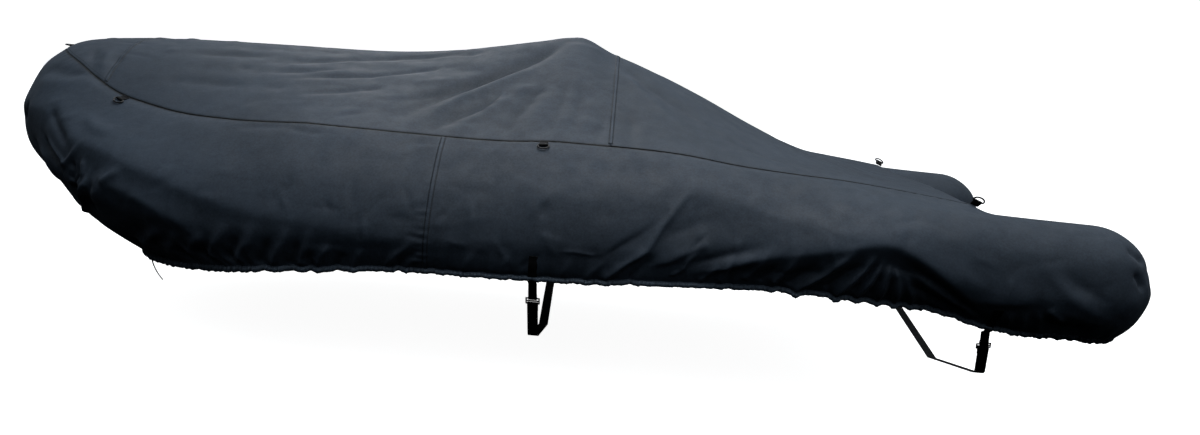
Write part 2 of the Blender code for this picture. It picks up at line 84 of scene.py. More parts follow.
# Folds: how far they are felt in flank widths, the most that their edge is rounded, the shift of the far
# side's folds, and the strength of the top's.
FOLD_REACH = 3.2
FOLD_EDGE = 0.006
FAR_SHIFT = -0.05
TOP_FAR_SHIFT = 0.035
TOP_STRENGTH = 2.3
TOP_SMALL_STRENGTH = 2.4
RIDGE_SOFT = 0.04

# Pleats above the hem: seed, wave lengths, the height they reach and their rise.
GATHERS = ((5, (0.021, 0.034, 0.027), 0.045, 0.0030), (15, (0.055, 0.083, 0.041), 0.120, 0.0044))

# Lines of the side from the long seam to the hem: reach at the bow, share of the drop at the bow, distance
# from the centre plane and share of the drop amidships, and the same two at the stern.
LINES = np.array((
    (1.130, 0.000, 0.630, 0.000, 0.630, 0.000),
    (1.200, 0.000, 0.700, 0.000, 0.720, 0.000),
    (1.238, 0.133, 0.785, 0.213, 0.810, 0.054),
    (1.256, 0.265, 0.838, 0.438, 0.885, 0.222),
    (1.235, 0.433, 0.862, 0.640, 0.920, 0.510),
    (1.140, 0.588, 0.857, 0.775, 0.912, 0.676),
    (1.000, 0.800, 0.842, 0.899, 0.880, 0.842),
    (0.733, 1.000, 0.820, 1.000, 0.820, 1.000),
))

# Angle round the bow from the side (0) to its tip (90), and the heights of seam, crown and hem.
BOW_HEIGHTS = np.array((
    (0, -0.382, -0.432, -0.872),
    (14, -0.395, -0.447, -0.889),
    (24, -0.392, -0.445, -0.902),
    (32, -0.374, -0.430, -0.913),
    (40, -0.350, -0.409, -0.922),
    (48, -0.306, -0.365, -0.930),
    (56, -0.263, -0.322, -0.936),
    (66, -0.236, -0.296, -0.942),
    (78, -0.222, -0.284, -0.948),
    (90, -0.217, -0.280, -0.952),
))

# Place along the side, and the heights of seam, crown and hem.
SIDE_HEIGHTS = np.array((
    (-0.90, -0.382, -0.432, -0.872),
    (-0.45, -0.384, -0.434, -0.848),
    (-0.22, -0.381, -0.429, -0.840),
    (0.00, -0.366, -0.414, -0.832),
    (0.40, -0.370, -0.415, -0.811),
    (0.62, -0.392, -0.430, -0.805),
    (0.80, -0.402, -0.435, -0.803),
    (1.00, -0.410, -0.437, -0.806),
    (1.21, -0.428, -0.447, -0.812),
    (1.40, -0.448, -0.462, -0.838),
    (1.438, -0.454, -0.465, -0.846),
    (1.50, -0.491, -0.470, -0.857),
    (1.85, -0.497, -0.476, -0.862),
))

# Place along the ridge, its height, and the fullness of the slope down to the seams.
RIDGE = np.array((
    (-2.03, -0.217, 2.4),
    (-1.98, -0.193, 2.4),
    (-1.86, -0.170, 2.4),
    (-1.72, -0.156, 2.4),
    (-1.54, -0.146, 2.1),
    (-1.13, -0.133, 1.5),
    (-0.72, -0.118, 1.2),
    (-0.52, -0.095, 1.1),
    (-0.32, -0.059, 1.05),
    (-0.16, -0.026, 1.0),
    (0.00, 0.0034, 1.0),
    (0.14, -0.050, 1.05),
    (0.29, -0.099, 1.1),
    (0.51, -0.186, 1.2),
    (0.72, -0.280, 1.3),
    (0.90, -0.350, 1.5),
    (1.06, -0.390, 1.8),
    (1.25, -0.432, 2.0),
    (1.50, -0.470, 2.0),
))

# Folds of the side, in millimetres: rise, width of the upper flank and of the lower one, the share of the
# path over which the fold fades at its start and at its end, and the path in x and z, some with the fold's
# strength there. A rise below 0 is a trough.
FOLDS = (
    # the soft crest above, and the shoulder where the cloth breaks inwards, aft to the stern strap
    (13, 120, 60, 0.3, 0, ((200, -530, 0.2), (287, -521, 0.6), (402, -484, 1), (495, -474, 1.2),
        (570, -490, 1.2), (645, -514, 1), (727, -536, 0.9), (836, -552, 0.7), (958, -566, 0.4),
        (1080, -575, 0.1))),
    (26, 110, 30, 0, 0, ((460, -712, 0.05), (560, -690, 0.25), (660, -672, 0.5), (756, -652, 0.75),
        (855, -634, 0.9), (952, -614, 1), (1033, -594, 1.05), (1080, -586, 1.1), (1128, -588, 1.1),
        (1193, -616, 0.95), (1247, -646, 0.85), (1301, -682, 0.8), (1363, -722, 0.6), (1414, -762, 0.3),
        (1450, -790, 0.1))),
    (-15, 24, 80, 0, 0, ((600, -735, 0.1), (720, -722, 0.4), (840, -705, 0.7), (950, -684, 0.9),
        (1030, -660, 1), (1100, -648, 1.1), (1170, -668, 1.1), (1250, -712, 0.9), (1330, -765, 0.6),
        (1390, -800, 0.3))),
    # the lower side hangs more upright aft of the side seam
    (16, 100, 30, 0, 0, ((-600, -815, 0.1), (-400, -808, 0.6), (-200, -802, 1), (100, -798, 1.1),
        (350, -790, 1), (550, -785, 0.5), (700, -785, 0.1))),
    # the main fold and what lies beside it
    (12, 16, 10, 0, 0, ((185, -790, 1), (253, -723, 1), (314, -678, 0.9), (337, -633, 0.8),
        (358, -595, 0.8), (392, -550, 0.6), (426, -503, 0.4), (470, -465, 0.1))),
    (-8, 12, 18, 0, 0.6, ((262, -785), (296, -742), (328, -704), (362, -672))),
    (-7, 10, 40, 0.2, 0.7, ((170, -715), (226, -668), (284, -628), (322, -598), (362, -560))),
    (-6, 26, 30, 0.3, 0.5, ((345, -640), (396, -612), (475, -575), (560, -560))),
    (9, 26, 14, 0.3, 0.5, ((316, -731), (382, -706), (460, -662), (540, -627))),
    (-11, 18, 24, 0.3, 0.5, ((438, -720), (510, -690), (618, -655), (723, -625))),
    (11, 26, 13, 0.3, 0.5, ((480, -744), (581, -707), (660, -678), (739, -652))),
    (8, 10, 7, 0.2, 0.6, ((430, -745), (441, -718), (453, -694), (490, -658))),
    (5, 7, 7, 0.2, 0.5, ((395, -764), (416, -748), (445, -726))),
    (3, 7, 6, 0.3, 0.4, ((20, -706), (75, -702), (130, -708), (165, -700))),
    (7, 10, 8, 0, 0.7, ((561, -764), (587, -700), (612, -640), (625, -600))),
    (6, 9, 8, 0, 0.7, ((500, -770), (530, -735), (552, -690))),
    (9, 11, 9, 0, 0.7, ((648, -748), (689, -686), (722, -633))),
    (-7, 10, 12, 0.1, 0.5, ((690, -765), (725, -705), (755, -650))),
    # folds that run from the hem up to the shoulder
    (13, 14, 12, 0.1, 0.5, ((735, -768), (765, -720), (795, -672), (825, -625))),
    (-9, 12, 14, 0.1, 0.5, ((785, -770), (820, -722), (860, -672), (885, -640))),
    (21, 18, 13, 0, 0.3, ((820, -775), (896, -704), (950, -656), (1000, -608))),
    (-12, 12, 14, 0.1, 0.4, ((905, -770), (945, -725), (985, -680), (1020, -640))),
    (22, 18, 13, 0, 0.3, ((955, -775), (985, -722), (1022, -672), (1062, -612))),
    (-11, 9, 10, 0.1, 0.4, ((1000, -770), (1020, -725), (1045, -680), (1068, -640))),
    (18, 13, 11, 0, 0.3, ((1022, -776), (1042, -726), (1062, -680), (1086, -618))),
    (-11, 9, 10, 0.1, 0.4, ((1060, -775), (1070, -725), (1080, -670))),
    (18, 12, 12, 0, 0.3, ((1092, -780), (1096, -736), (1098, -690), (1100, -622))),
    (-10, 9, 10, 0.1, 0.4, ((1120, -780), (1118, -735), (1112, -680))),
    (16, 12, 12, 0, 0.3, ((1148, -782), (1144, -744), (1136, -696), (1116, -635))),
    (11, 11, 11, 0, 0.4, ((1204, -795), (1192, -750), (1165, -694), (1142, -655))),
    (-14, 14, 18, 0.2, 0.2, ((1138, -622), (1202, -655), (1283, -697), (1353, -745), (1413, -790))),
    (14, 12, 12, 0.3, 0.1, ((1157, -664), (1210, -687), (1272, -721), (1346, -763), (1430, -811))),
    (-12, 12, 18, 0.3, 0.1, ((1152, -694), (1216, -728), (1292, -766), (1378, -808))),
    (11, 11, 11, 0.4, 0, ((1236, -772), (1305, -794), (1382, -815), (1458, -834))),
    # round the stern strap and over the rounded end
    (12, 50, 20, 0.4, 0.3, ((1370, -724), (1460, -728), (1527, -724), (1600, -712))),
    (10, 40, 26, 0.6, 0.3, ((1560, -560), (1632, -638), (1688, -690), (1774, -733), (1850, -752))),
    (-9, 30, 40, 0.4, 0.4, ((1649, -608), (1714, -652), (1788, -690), (1850, -705))),
    (10, 60, 26, 0.3, 0.4, ((1587, -709), (1675, -740), (1771, -766), (1860, -772))),
    (-16, 24, 50, 0.3, 0.3, ((1600, -790), (1700, -810), (1820, -815))),
    (-12, 10, 12, 0.3, 0.3, ((1878, -522), (1918, -545), (1960, -575))),
    (-14, 10, 14, 0.3, 0.3, ((1895, -596), (1922, -617), (1946, -658))),
    (6, 8, 9, 0, 0.5, ((1527, -820), (1515, -790), (1500, -752))),
    (6, 8, 9, 0, 0.5, ((1580, -825), (1567, -790), (1551, -752))),
    (9, 10, 10, 0, 0.5, ((1630, -825), (1615, -780), (1597, -738))),
    (11, 12, 12, 0.2, 0.3, ((1620, -735), (1655, -758), (1700, -785))),
    # the bow: the shoulder of the upper cloth, the flat band below it and the edge where it turns under
    (24, 150, 52, 0, 0, ((-2039, -440, 0.5), (-1916, -430, 0.6), (-1836, -440, 0.8), (-1786, -478, 0.9),
        (-1727, -515, 1), (-1633, -532, 1.1), (-1534, -552, 1.1), (-1428, -580, 1.1), (-1319, -604, 1),
        (-1191, -634, 0.8), (-1089, -656, 0.55), (-1002, -672, 0.42), (-847, -684, 0.36),
        (-600, -705, 0.25), (-400, -710, 0.1))),
    (17, 70, 40, 0, 0, ((-1600, -716, 0.5), (-1565, -680, 0.9), (-1506, -645, 1.2), (-1409, -664, 1.1),
        (-1311, -698, 1), (-1214, -732, 0.8), (-1162, -775, 0.4))),
    # the bow: folds near its tip
    (-10, 20, 30, 0.3, 0.3, ((-1995, -292), (-1918, -304), (-1869, -308), (-1787, -303))),
    (8, 40, 30, 0.3, 0.4, ((-2000, -345), (-1920, -345), (-1830, -335), (-1740, -330))),
    (4, 7, 7, 0.3, 0.3, ((-1878, -420), (-1845, -413), (-1800, -398))),
    (4, 7, 7, 0.3, 0.3, ((-1795, -466), (-1756, -455), (-1720, -436))),
    (7, 16, 12, 0.3, 0.3, ((-1713, -444), (-1666, -463), (-1625, -482), (-1586, -486), (-1540, -480))),
    (-13, 18, 18, 0.2, 0.3, ((-1985, -425), (-2012, -460), (-2051, -490))),
    (5, 12, 14, 0.4, 0.4, ((-1955, -530), (-1900, -566), (-1860, -615), (-1830, -670))),
    (-14, 14, 16, 0.2, 0.3, ((-1852, -437), (-1828, -455), (-1800, -480), (-1745, -526), (-1715, -556))),
    (8, 10, 9, 0.3, 0.3, ((-1850, -512), (-1826, -538), (-1795, -560), (-1770, -575), (-1740, -594),
        (-1712, -616))),
    (-20, 12, 18, 0.3, 0.2, ((-1868, -520), (-1840, -548), (-1808, -580), (-1775, -615), (-1750, -650),
        (-1720, -700))),
    (10, 14, 12, 0.3, 0.3, ((-1895, -555), (-1850, -595), (-1815, -640), (-1790, -700))),
    (-16, 12, 18, 0.3, 0.3, ((-1951, -531), (-1887, -586), (-1847, -628), (-1800, -690))),
    (10, 9, 9, 0.2, 0.4, ((-1757, -620), (-1718, -595), (-1690, -563), (-1650, -524))),
    (-12, 10, 12, 0.2, 0.2, ((-1693, -585), (-1682, -622), (-1690, -660))),
    (-16, 11, 12, 0.2, 0.2, ((-1657, -590), (-1653, -631), (-1669, -676), (-1707, -702))),
    (11, 10, 10, 0.2, 0.2, ((-1640, -575), (-1638, -620), (-1645, -670))),
    (18, 9, 9, 0.2, 0, ((-1603, -615), (-1609, -656), (-1622, -687), (-1650, -725), (-1680, -770))),
    (-10, 12, 12, 0.2, 0.2, ((-1575, -640), (-1585, -690), (-1610, -750))),
    (12, 18, 14, 0.2, 0.4, ((-1545, -648), (-1503, -617), (-1465, -590))),
    (-18, 30, 34, 0.2, 0.3, ((-1470, -885), (-1410, -820), (-1330, -760))),
    (14, 20, 14, 0.2, 0.3, ((-1420, -890), (-1360, -820), (-1280, -765))),
    (-14, 30, 40, 0.2, 0.3, ((-1360, -870), (-1290, -820), (-1210, -790))),
    # gathers low on the forward side: a zigzag of short folds that rise from the hem
    (12, 20, 18, 0.1, 0.3, ((-1300, -880), (-1262, -820), (-1215, -760))),
    (-12, 18, 18, 0.1, 0.3, ((-1235, -875), (-1205, -835), (-1180, -790))),
    (15, 22, 14, 0.1, 0.5, ((-1205, -850), (-1165, -790), (-1129, -745))),
    (-14, 14, 18, 0.1, 0.4, ((-1155, -860), (-1130, -815), (-1110, -775))),
    (16, 22, 14, 0.1, 0.5, ((-1118, -845), (-1092, -775), (-1056, -712))),
    (-15, 14, 18, 0.1, 0.4, ((-1060, -855), (-1045, -805), (-1025, -750))),
    (15, 20, 14, 0.1, 0.5, ((-1033, -845), (-997, -770), (-977, -695))),
    (-14, 14, 17, 0.1, 0.4, ((-965, -855), (-948, -805), (-930, -750))),
    (14, 20, 14, 0.1, 0.5, ((-930, -850), (-893, -765), (-868, -695))),
    (-12, 14, 16, 0.1, 0.4, ((-870, -850), (-852, -800), (-838, -750))),
    (12, 17, 13, 0.1, 0.5, ((-840, -845), (-816, -762), (-799, -700))),
    (-12, 12, 14, 0.1, 0.4, ((-790, -855), (-812, -815), (-800, -780))),
    (11, 12, 12, 0.1, 0.4, ((-790, -855), (-765, -800), (-735, -745))),
    (-9, 12, 14, 0.1, 0.4, ((-720, -850), (-700, -810), (-690, -775))),
    (9, 12, 12, 0.1, 0.4, ((-665, -850), (-645, -800), (-630, -750))),
    (8, 12, 12, 0.1, 0.5, ((-560, -835), (-520, -780), (-450, -705))),
    (-6, 10, 12, 0.1, 0.5, ((-520, -835), (-485, -790), (-440, -740))),
    (6, 10, 10, 0.1, 0.5, ((-490, -838), (-465, -800), (-430, -765))),
    (6, 12, 12, 0.1, 0.6, ((-300, -830), (-280, -780), (-250, -715))),
    (5, 12, 12, 0.1, 0.6, ((-170, -825), (-160, -775), (-130, -720))),
    (5, 12, 12, 0.1, 0.6, ((20, -820), (50, -765), (70, -710))),
    (6, 12, 12, 0.1, 0.6, ((100, -818), (150, -758), (190, -700))),
    # creases under the long seam, where the two seams meet and beside them
    (-5, 10, 14, 0.3, 0.4, ((-430, -400), (-520, -412), (-600, -440))),
    (-5, 10, 14, 0.3, 0.4, ((-430, -425), (-500, -445), (-550, -475))),
    (-5, 8, 10, 0.3, 0.4, ((-980, -400), (-880, -408), (-800, -408))),
    (-4, 8, 10, 0.3, 0.4, ((-1150, -420), (-1050, -405), (-970, -400))),
    (4, 50, 50, 0.3, 0.3, ((-160, -560), (0, -530), (160, -545))),
)

# Folds of the top on the port side: the same columns, with the path in x and y. They are mirrored with a
# small shift on the starboard side.
TOP_FOLDS = (
    (-8, 35, 30, 0.3, 0.2, ((-620, -580), (-485, -400), (-320, -262), (-145, -136), (-36, -40))),
    (6, 30, 26, 0.3, 0.3, ((-550, -600), (-430, -430), (-300, -310), (-120, -160))),
    (-8, 26, 22, 0.1, 0.4, ((-480, -622), (-402, -523), (-324, -457), (-248, -357))),
    (5, 24, 24, 0.1, 0.4, ((-415, -622), (-350, -530), (-270, -440), (-190, -330))),
    (-4, 22, 22, 0.2, 0.3, ((-600, -440), (-423, -317), (-211, -205))),
    (-6, 22, 26, 0.1, 0.5, ((-225, -615), (-176, -473), (-149, -405), (-108, -289))),
    (4, 20, 20, 0.1, 0.5, ((-155, -615), (-118, -480), (-85, -350))),
    (-4, 18, 22, 0.1, 0.5, ((-62, -615), (-40, -506), (-28, -405), (-15, -227))),
    (-4, 18, 18, 0.1, 0.5, ((26, -615), (35, -497), (37, -395), (28, -250))),
    (-5, 18, 18, 0.1, 0.5, ((112, -620), (126, -520), (130, -420))),
    (2.5, 6, 6, 0.3, 0.3, ((-278, -440), (-261, -395), (-243, -335))),
    (-4, 30, 30, 0.3, 0.3, ((-1468, -258), (-1326, -230), (-1150, -198))),
    (-4, 20, 20, 0.3, 0.3, ((-1210, -282), (-1054, -233), (-919, -175), (-701, -105), (-511, -65),
        (-300, -50))),
    (-3, 12, 12, 0.3, 0.3, ((-1082, -376), (-945, -336), (-770, -288), (-597, -215), (-413, -160))),
    (-4, 26, 26, 0.3, 0.3, ((-1520, -434), (-1355, -433), (-1180, -440))),
    (-3, 16, 16, 0.3, 0.3, ((-1171, -336), (-1030, -306), (-857, -249))),
    (-3, 14, 14, 0.3, 0.3, ((-1000, -470), (-840, -420), (-680, -350))),
    (-3, 12, 14, 0.3, 0.4, ((-1280, -600), (-1180, -560), (-1100, -500))),
    (-3, 10, 12, 0.3, 0.4, ((-860, -610), (-780, -560), (-700, -530))),
    (-4, 30, 30, 0.2, 0.4, ((175, -60), (293, -190), (452, -290), (600, -400))),
    (5, 30, 30, 0.2, 0.4, ((175, -140), (295, -300), (420, -430))),
    (-5, 26, 26, 0.1, 0.5, ((230, -620), (235, -500), (215, -360))),
    (-4, 12, 12, 0.3, 0.3, ((600, -430), (760, -500), (920, -515))),
    (3, 8, 8, 0.3, 0.3, ((780, -500), (846, -510), (905, -502))),
    (-5, 40, 40, 0.3, 0.3, ((800, -50), (1050, -200), (1250, -420))),
    (-4, 18, 18, 0.2, 0.3, ((-1760, -435), (-1800, -340), (-1830, -240))),
    (4, 18, 18, 0.2, 0.3, ((-1725, -440), (-1750, -350), (-1770, -260))),
    (-4, 14, 14, 0.2, 0.3, ((-1690, -455), (-1700, -390), (-1700, -310))),
)


def in_metres(rows):
    """A table of folds in millimetres as rows for crease(). Fades and strengths have no unit."""
    scale = np.array((1000.0, 1000.0, 1.0))
    result = []
    for rise, upper, lower, fade_in, fade_out, path in rows:
        path = np.array(path, float) / scale[: len(path[0])]
        result.append((rise / 1000, upper / 1000, lower / 1000, fade_in, fade_out, path))
    return result


def smooth(table, column, x):
    """A smooth curve without overshoot through a table's column, read at many places."""
    xs, ys = table[:, 0], table[:, column]
    steps = np.diff(xs)
    slopes = np.diff(ys) / steps
    tangents = np.concatenate([[slopes[0]], (slopes[:-1] + slopes[1:]) / 2, [slopes[-1]]])
    tangents[1:-1][slopes[:-1] * slopes[1:] <= 0] = 0.0
    i = np.clip(np.searchsorted(xs, x) - 1, 0, len(steps) - 1)
    t = np.clip((x - xs[i]) / steps[i], 0.0, 1.0)
    start = (1 + 2 * t) * (1 - t) ** 2 * ys[i] + t * (1 - t) ** 2 * steps[i] * tangents[i]
    return start + t * t * (3 - 2 * t) * ys[i + 1] + t * t * (t - 1) * steps[i] * tangents[i + 1]


def ease(t):
    t = np.clip(t, 0.0, 1.0)
    return t * t * (3 - 2 * t)


def unit(vectors):
    return vectors / np.maximum(np.linalg.norm(vectors, axis=-1, keepdims=True), 1e-9)


def facing(grid, side=1.0, lift=0.0):
    """Unit normals of a grid of points, on the outer face of the cloth."""
    return unit(side * np.cross(np.gradient(grid, axis=0), np.gradient(grid, axis=1)) + (0, 0, lift))


def walk(points):
    """Distance walked along an array of points."""
    return np.concatenate([[0.0], np.cumsum(np.linalg.norm(np.diff(points, axis=0), axis=1))])


def read(at, places, rows):
    """Rows of numbers that stand at increasing places, read at other places."""
    return np.stack([np.interp(at, places, rows[:, k]) for k in range(rows.shape[1])], axis=-1)


def spread(along, across):
    """A grid of two coordinates from what changes along it and what changes across it."""
    return np.stack(np.broadcast_arrays(along[:, None], across[None, :]), axis=2)


def between(start, stop, step):
    """Places from start to stop with about one step between them."""
    return np.linspace(start, stop, max(2, int(round(abs(stop - start) / (step * COARSE)))) + 1)


def lines(kind, where, side):
    """The eight line points at many places, as an array of place, line and x, y, z."""
    where = np.atleast_1d(np.asarray(where, float))
    if kind in ("turn", "inner"):
        turn = where if kind == "turn" else np.full(len(where), 180.0)
        x = np.full(len(where), ROUNDED_ENDS[side]) if kind == "turn" else where
        points = lines("side", x, side)
        axis = points[:, 1, 1].copy()
        radius = side * (points[:, :, 1] - axis[:, None])
        angle = np.radians(turn)[:, None]
        points[:, :, 0] = x[:, None] + radius * np.sin(angle)
        points[:, :, 1] = axis[:, None] + side * radius * np.cos(angle)
        return points
    table = BOW_HEIGHTS if kind == "bow" else SIDE_HEIGHTS
    seam, crown, hem = (smooth(table, k, where)[:, None] for k in (1, 2, 3))
    reach, bow_drop, half, drop, stern_half, stern_drop = LINES.T
    if kind == "bow":
        angle = np.radians(where)[:, None]
        drop = drop + ease(where / 60.0)[:, None] * (bow_drop - drop)
        x = BOW_START - reach * np.sin(angle)
        y = side * half * np.cos(angle)
    else:
        blend = ease((where - 0.55) / 0.90)[:, None]
        drop = drop + blend * (stern_drop - drop)
        x = np.repeat(where[:, None], len(LINES), axis=1)
        y = side * (half + blend * (stern_half - half))
    z = crown + drop * (hem - crown)
    z[:, :1] = seam
    return np.stack([x, y, z], axis=2)


def row_weights(shares):
    """Weights that turn the eight line points into rows, rounded, at places counted in lines."""
    count = len(LINES)
    weights = np.zeros((len(shares), count))
    for r, share in enumerate(shares):
        k = min(int(share), count - 2)
        t = share - k
        curve = (-t + 2 * t**2 - t**3, 2 - 5 * t**2 + 3 * t**3, t + 4 * t**2 - 3 * t**3, -(t**2) + t**3)
        for j, value in zip(range(k - 1, k + 3), curve):
            if j < 0:
                weights[r, 0] += 2 * value
                weights[r, 1] -= value
            else:
                weights[r, min(j, count - 1)] += value
    return weights / 2


# Rows of the side's grid, counted in lines: close together at the long seam, and so many in each space.
COARSE = 1.0
SIDE_ROWS = [0.0, 0.022, 0.055, 0.10]
for start, splits in enumerate((8, 7, 9, 15, 16, 14, 9)):
    splits = int(math.ceil(splits / COARSE))
    SIDE_ROWS += [start + k / splits for k in range(2 if start == 0 else 0, splits)]
SIDE_ROWS = np.array(SIDE_ROWS + [7.0])
CROWN_ROW = int(np.argmin(abs(SIDE_ROWS - 1.0)))


def surface(kind, where, side):
    return np.einsum("rk,nkc->nrc", row_weights(SIDE_ROWS), lines(kind, where, side))


def crease(u, v, rows):
    """Height of folds on a grid: each rises to a soft edge along its path, with its own two flanks."""
    points = np.stack([u.ravel(), v.ravel()], axis=1)
    total = np.zeros(len(points))
    for rise, upper, lower, fade_in, fade_out, path in rows:
        path = np.asarray(path, float)
        path, strength = path[:, :2], path[:, 2] if path.shape[1] == 3 else None
        reach = FOLD_REACH * max(upper, lower)
        near = np.all((points > path.min(0) - reach) & (points < path.max(0) + reach), axis=1)
        if not near.any():
            continue
        here = points[near]
        walked = walk(path)
        nearest = np.full(len(here), 1e9)
        share = np.zeros(len(here))
        above = np.zeros(len(here))
        for k, length in enumerate(np.linalg.norm(np.diff(path, axis=0), axis=1)):
            along = (path[k + 1] - path[k]) / length
            across = np.array([-along[1], along[0]])
            if across @ (0.3, 1.0) < 0:
                across = -across
            offset = here - path[k]
            t = np.clip(offset @ along, 0.0, length)
            gap = offset - t[:, None] * along
            distance = np.linalg.norm(gap, axis=1)
            closer = distance < nearest
            nearest = np.where(closer, distance, nearest)
            share = np.where(closer, (walked[k] + t) / walked[-1], share)
            above = np.where(closer, (gap @ across) / np.maximum(distance, 1e-9), above)
        width = lower + (upper - lower) * ease(0.5 + 0.62 * above)
        soft = min(0.30 * min(upper, lower), FOLD_EDGE)
        height = rise * np.exp(-(((np.sqrt(nearest**2 + soft**2) - soft) / (0.80 * width)) ** 1.3))
        if strength is not None:
            height *= np.interp(share * walked[-1], walked, strength)
        if fade_in:
            height *= 0.15 + 0.85 * ease(share / fade_in)
        if fade_out:
            height *= 0.10 + 0.90 * ease((1 - share) / fade_out)
        total[near] += height
    return total.reshape(u.shape)


def scatter(seed, count, across, down, length, width, rise, lean):
    """Small seeded creases, as rows for crease(), over a stretch of the cloth."""
    chance = np.random.default_rng(seed)
    rows = []
    for _ in range(count):
        start = np.array([chance.uniform(*across), chance.uniform(*down)])
        angle = math.radians(chance.uniform(*lean))
        reach = chance.uniform(*length)
        bend = chance.uniform(-0.25, 0.25)
        middle = start + reach * 0.5 * np.array([math.cos(angle), math.sin(angle)])
        end = middle + reach * 0.5 * np.array([math.cos(angle + bend), math.sin(angle + bend)])
        size = chance.uniform(*width)
        height = chance.uniform(*rise) * chance.choice((-1.0, 1.0))
        rows.append((height, size, size * chance.uniform(0.8, 1.6), 0.4, 0.4, (start, middle, end)))
    return rows


def waves(x, seed, lengths):
    """Smooth uneven waves along one direction, as a sum of sines with seeded phases."""
    chance = np.random.default_rng(seed)
    total = np.zeros(len(x))
    for length in lengths:
        drift = 0.8 * np.sin(x / (length * 5.3) + chance.uniform(0, 6.3))
        total += np.sin(2 * math.pi * x / length + chance.uniform(0, 6.3) + drift)
    return total / len(lengths)


# Distance round the bow from the side, at every half degree, on an ellipse near the crown.
ARC_ANGLES = np.linspace(0, 90, 181)
ARC_STEPS = np.hypot(1.20 * np.cos(np.radians(ARC_ANGLES[1:])), 0.76 * np.sin(np.radians(ARC_ANGLES[1:])))
ARC = np.concatenate([[0.0], np.cumsum(ARC_STEPS * math.radians(0.5))])


def bow_angle(x, z):
    """Angle round the bow of the place on the cloth with this x and z, found in a few steps."""
    angle = 45.0
    for _ in range(6):
        crown, hem = (smooth(BOW_HEIGHTS, k, np.array([angle]))[0] for k in (2, 3))
        reach = np.interp((z - crown) / (hem - crown), LINES[1:, 1], LINES[1:, 0])
        angle = math.degrees(math.asin(min(1.0, (BOW_START - x) / reach)))
    return angle


def unroll(rows):
    """Folds given by x and z, with x ahead of the bow's start turned into distance round the bow."""
    result = []
    for *facts, path in rows:
        points = []
        for x, z, *strength in path:
            if x < BOW_START:
                x = BOW_START - float(np.interp(bow_angle(x, z), ARC_ANGLES, ARC))
            points.append((x, z, *strength))
        result.append((*facts, points))
    return result


SIDE_CREASES = unroll(in_metres(FOLDS))
TOP_CREASES = in_metres(TOP_FOLDS)

# Small creases of each side, along and up from the hem, and of the top, along and across.
SMALL_ALONG = (-2.5, 2.4)
SMALL = {
    side: scatter(seed, 110, SMALL_ALONG, (0.06, 0.50), (0.05, 0.22), (0.009, 0.026), (0.0010, 0.0026), (-25, 40))
    + scatter(seed + 1, 70, SMALL_ALONG, (0.03, 0.24), (0.05, 0.16), (0.008, 0.016), (0.0014, 0.0036), (50, 130))
    for side, seed in ((PORT, 3), (STARBOARD, 7))
}
SMALL_TOP = [row for facts in (
    (31, 80, (-1.9, 0.1), (-0.60, 0.60), (0.06, 0.25), (0.010, 0.026), (0.0010, 0.0024), (-15, 15)),
    (32, 26, (-1.7, 0.1), (-0.60, 0.60), (0.10, 0.30), (0.008, 0.016), (0.0008, 0.0016), (80, 100)),
    (33, 26, (0.2, 1.5), (-0.60, 0.60), (0.06, 0.25), (0.012, 0.030), (0.0010, 0.0026), (-40, 40)),
    (34, 24, (-1.7, 1.3), (-0.60, 0.60), (0.02, 0.05), (0.005, 0.009), (0.0010, 0.0018), (30, 150)),
) for row in scatter(*facts)]

# Columns of the top's grid, as shares of its half width, close together at the long seams.
EDGE_COLUMNS = 1 - np.array((0.0, 0.004, 0.009, 0.018))
TOP_COLUMNS = np.linspace(-0.97, 0.97, 127)
TOP_COLUMNS = np.concatenate([-EDGE_COLUMNS, TOP_COLUMNS, EDGE_COLUMNS[::-1]])
FLAP_ROWS = np.array((0.008, 0.02, 0.035, 0.055, 0.08, 0.12, 0.16, 0.21, 0.27, 0.34, 0.42, 0.50, 0.58, 0.66,
                      0.74, 0.82, 0.90, 0.96, 1.0))


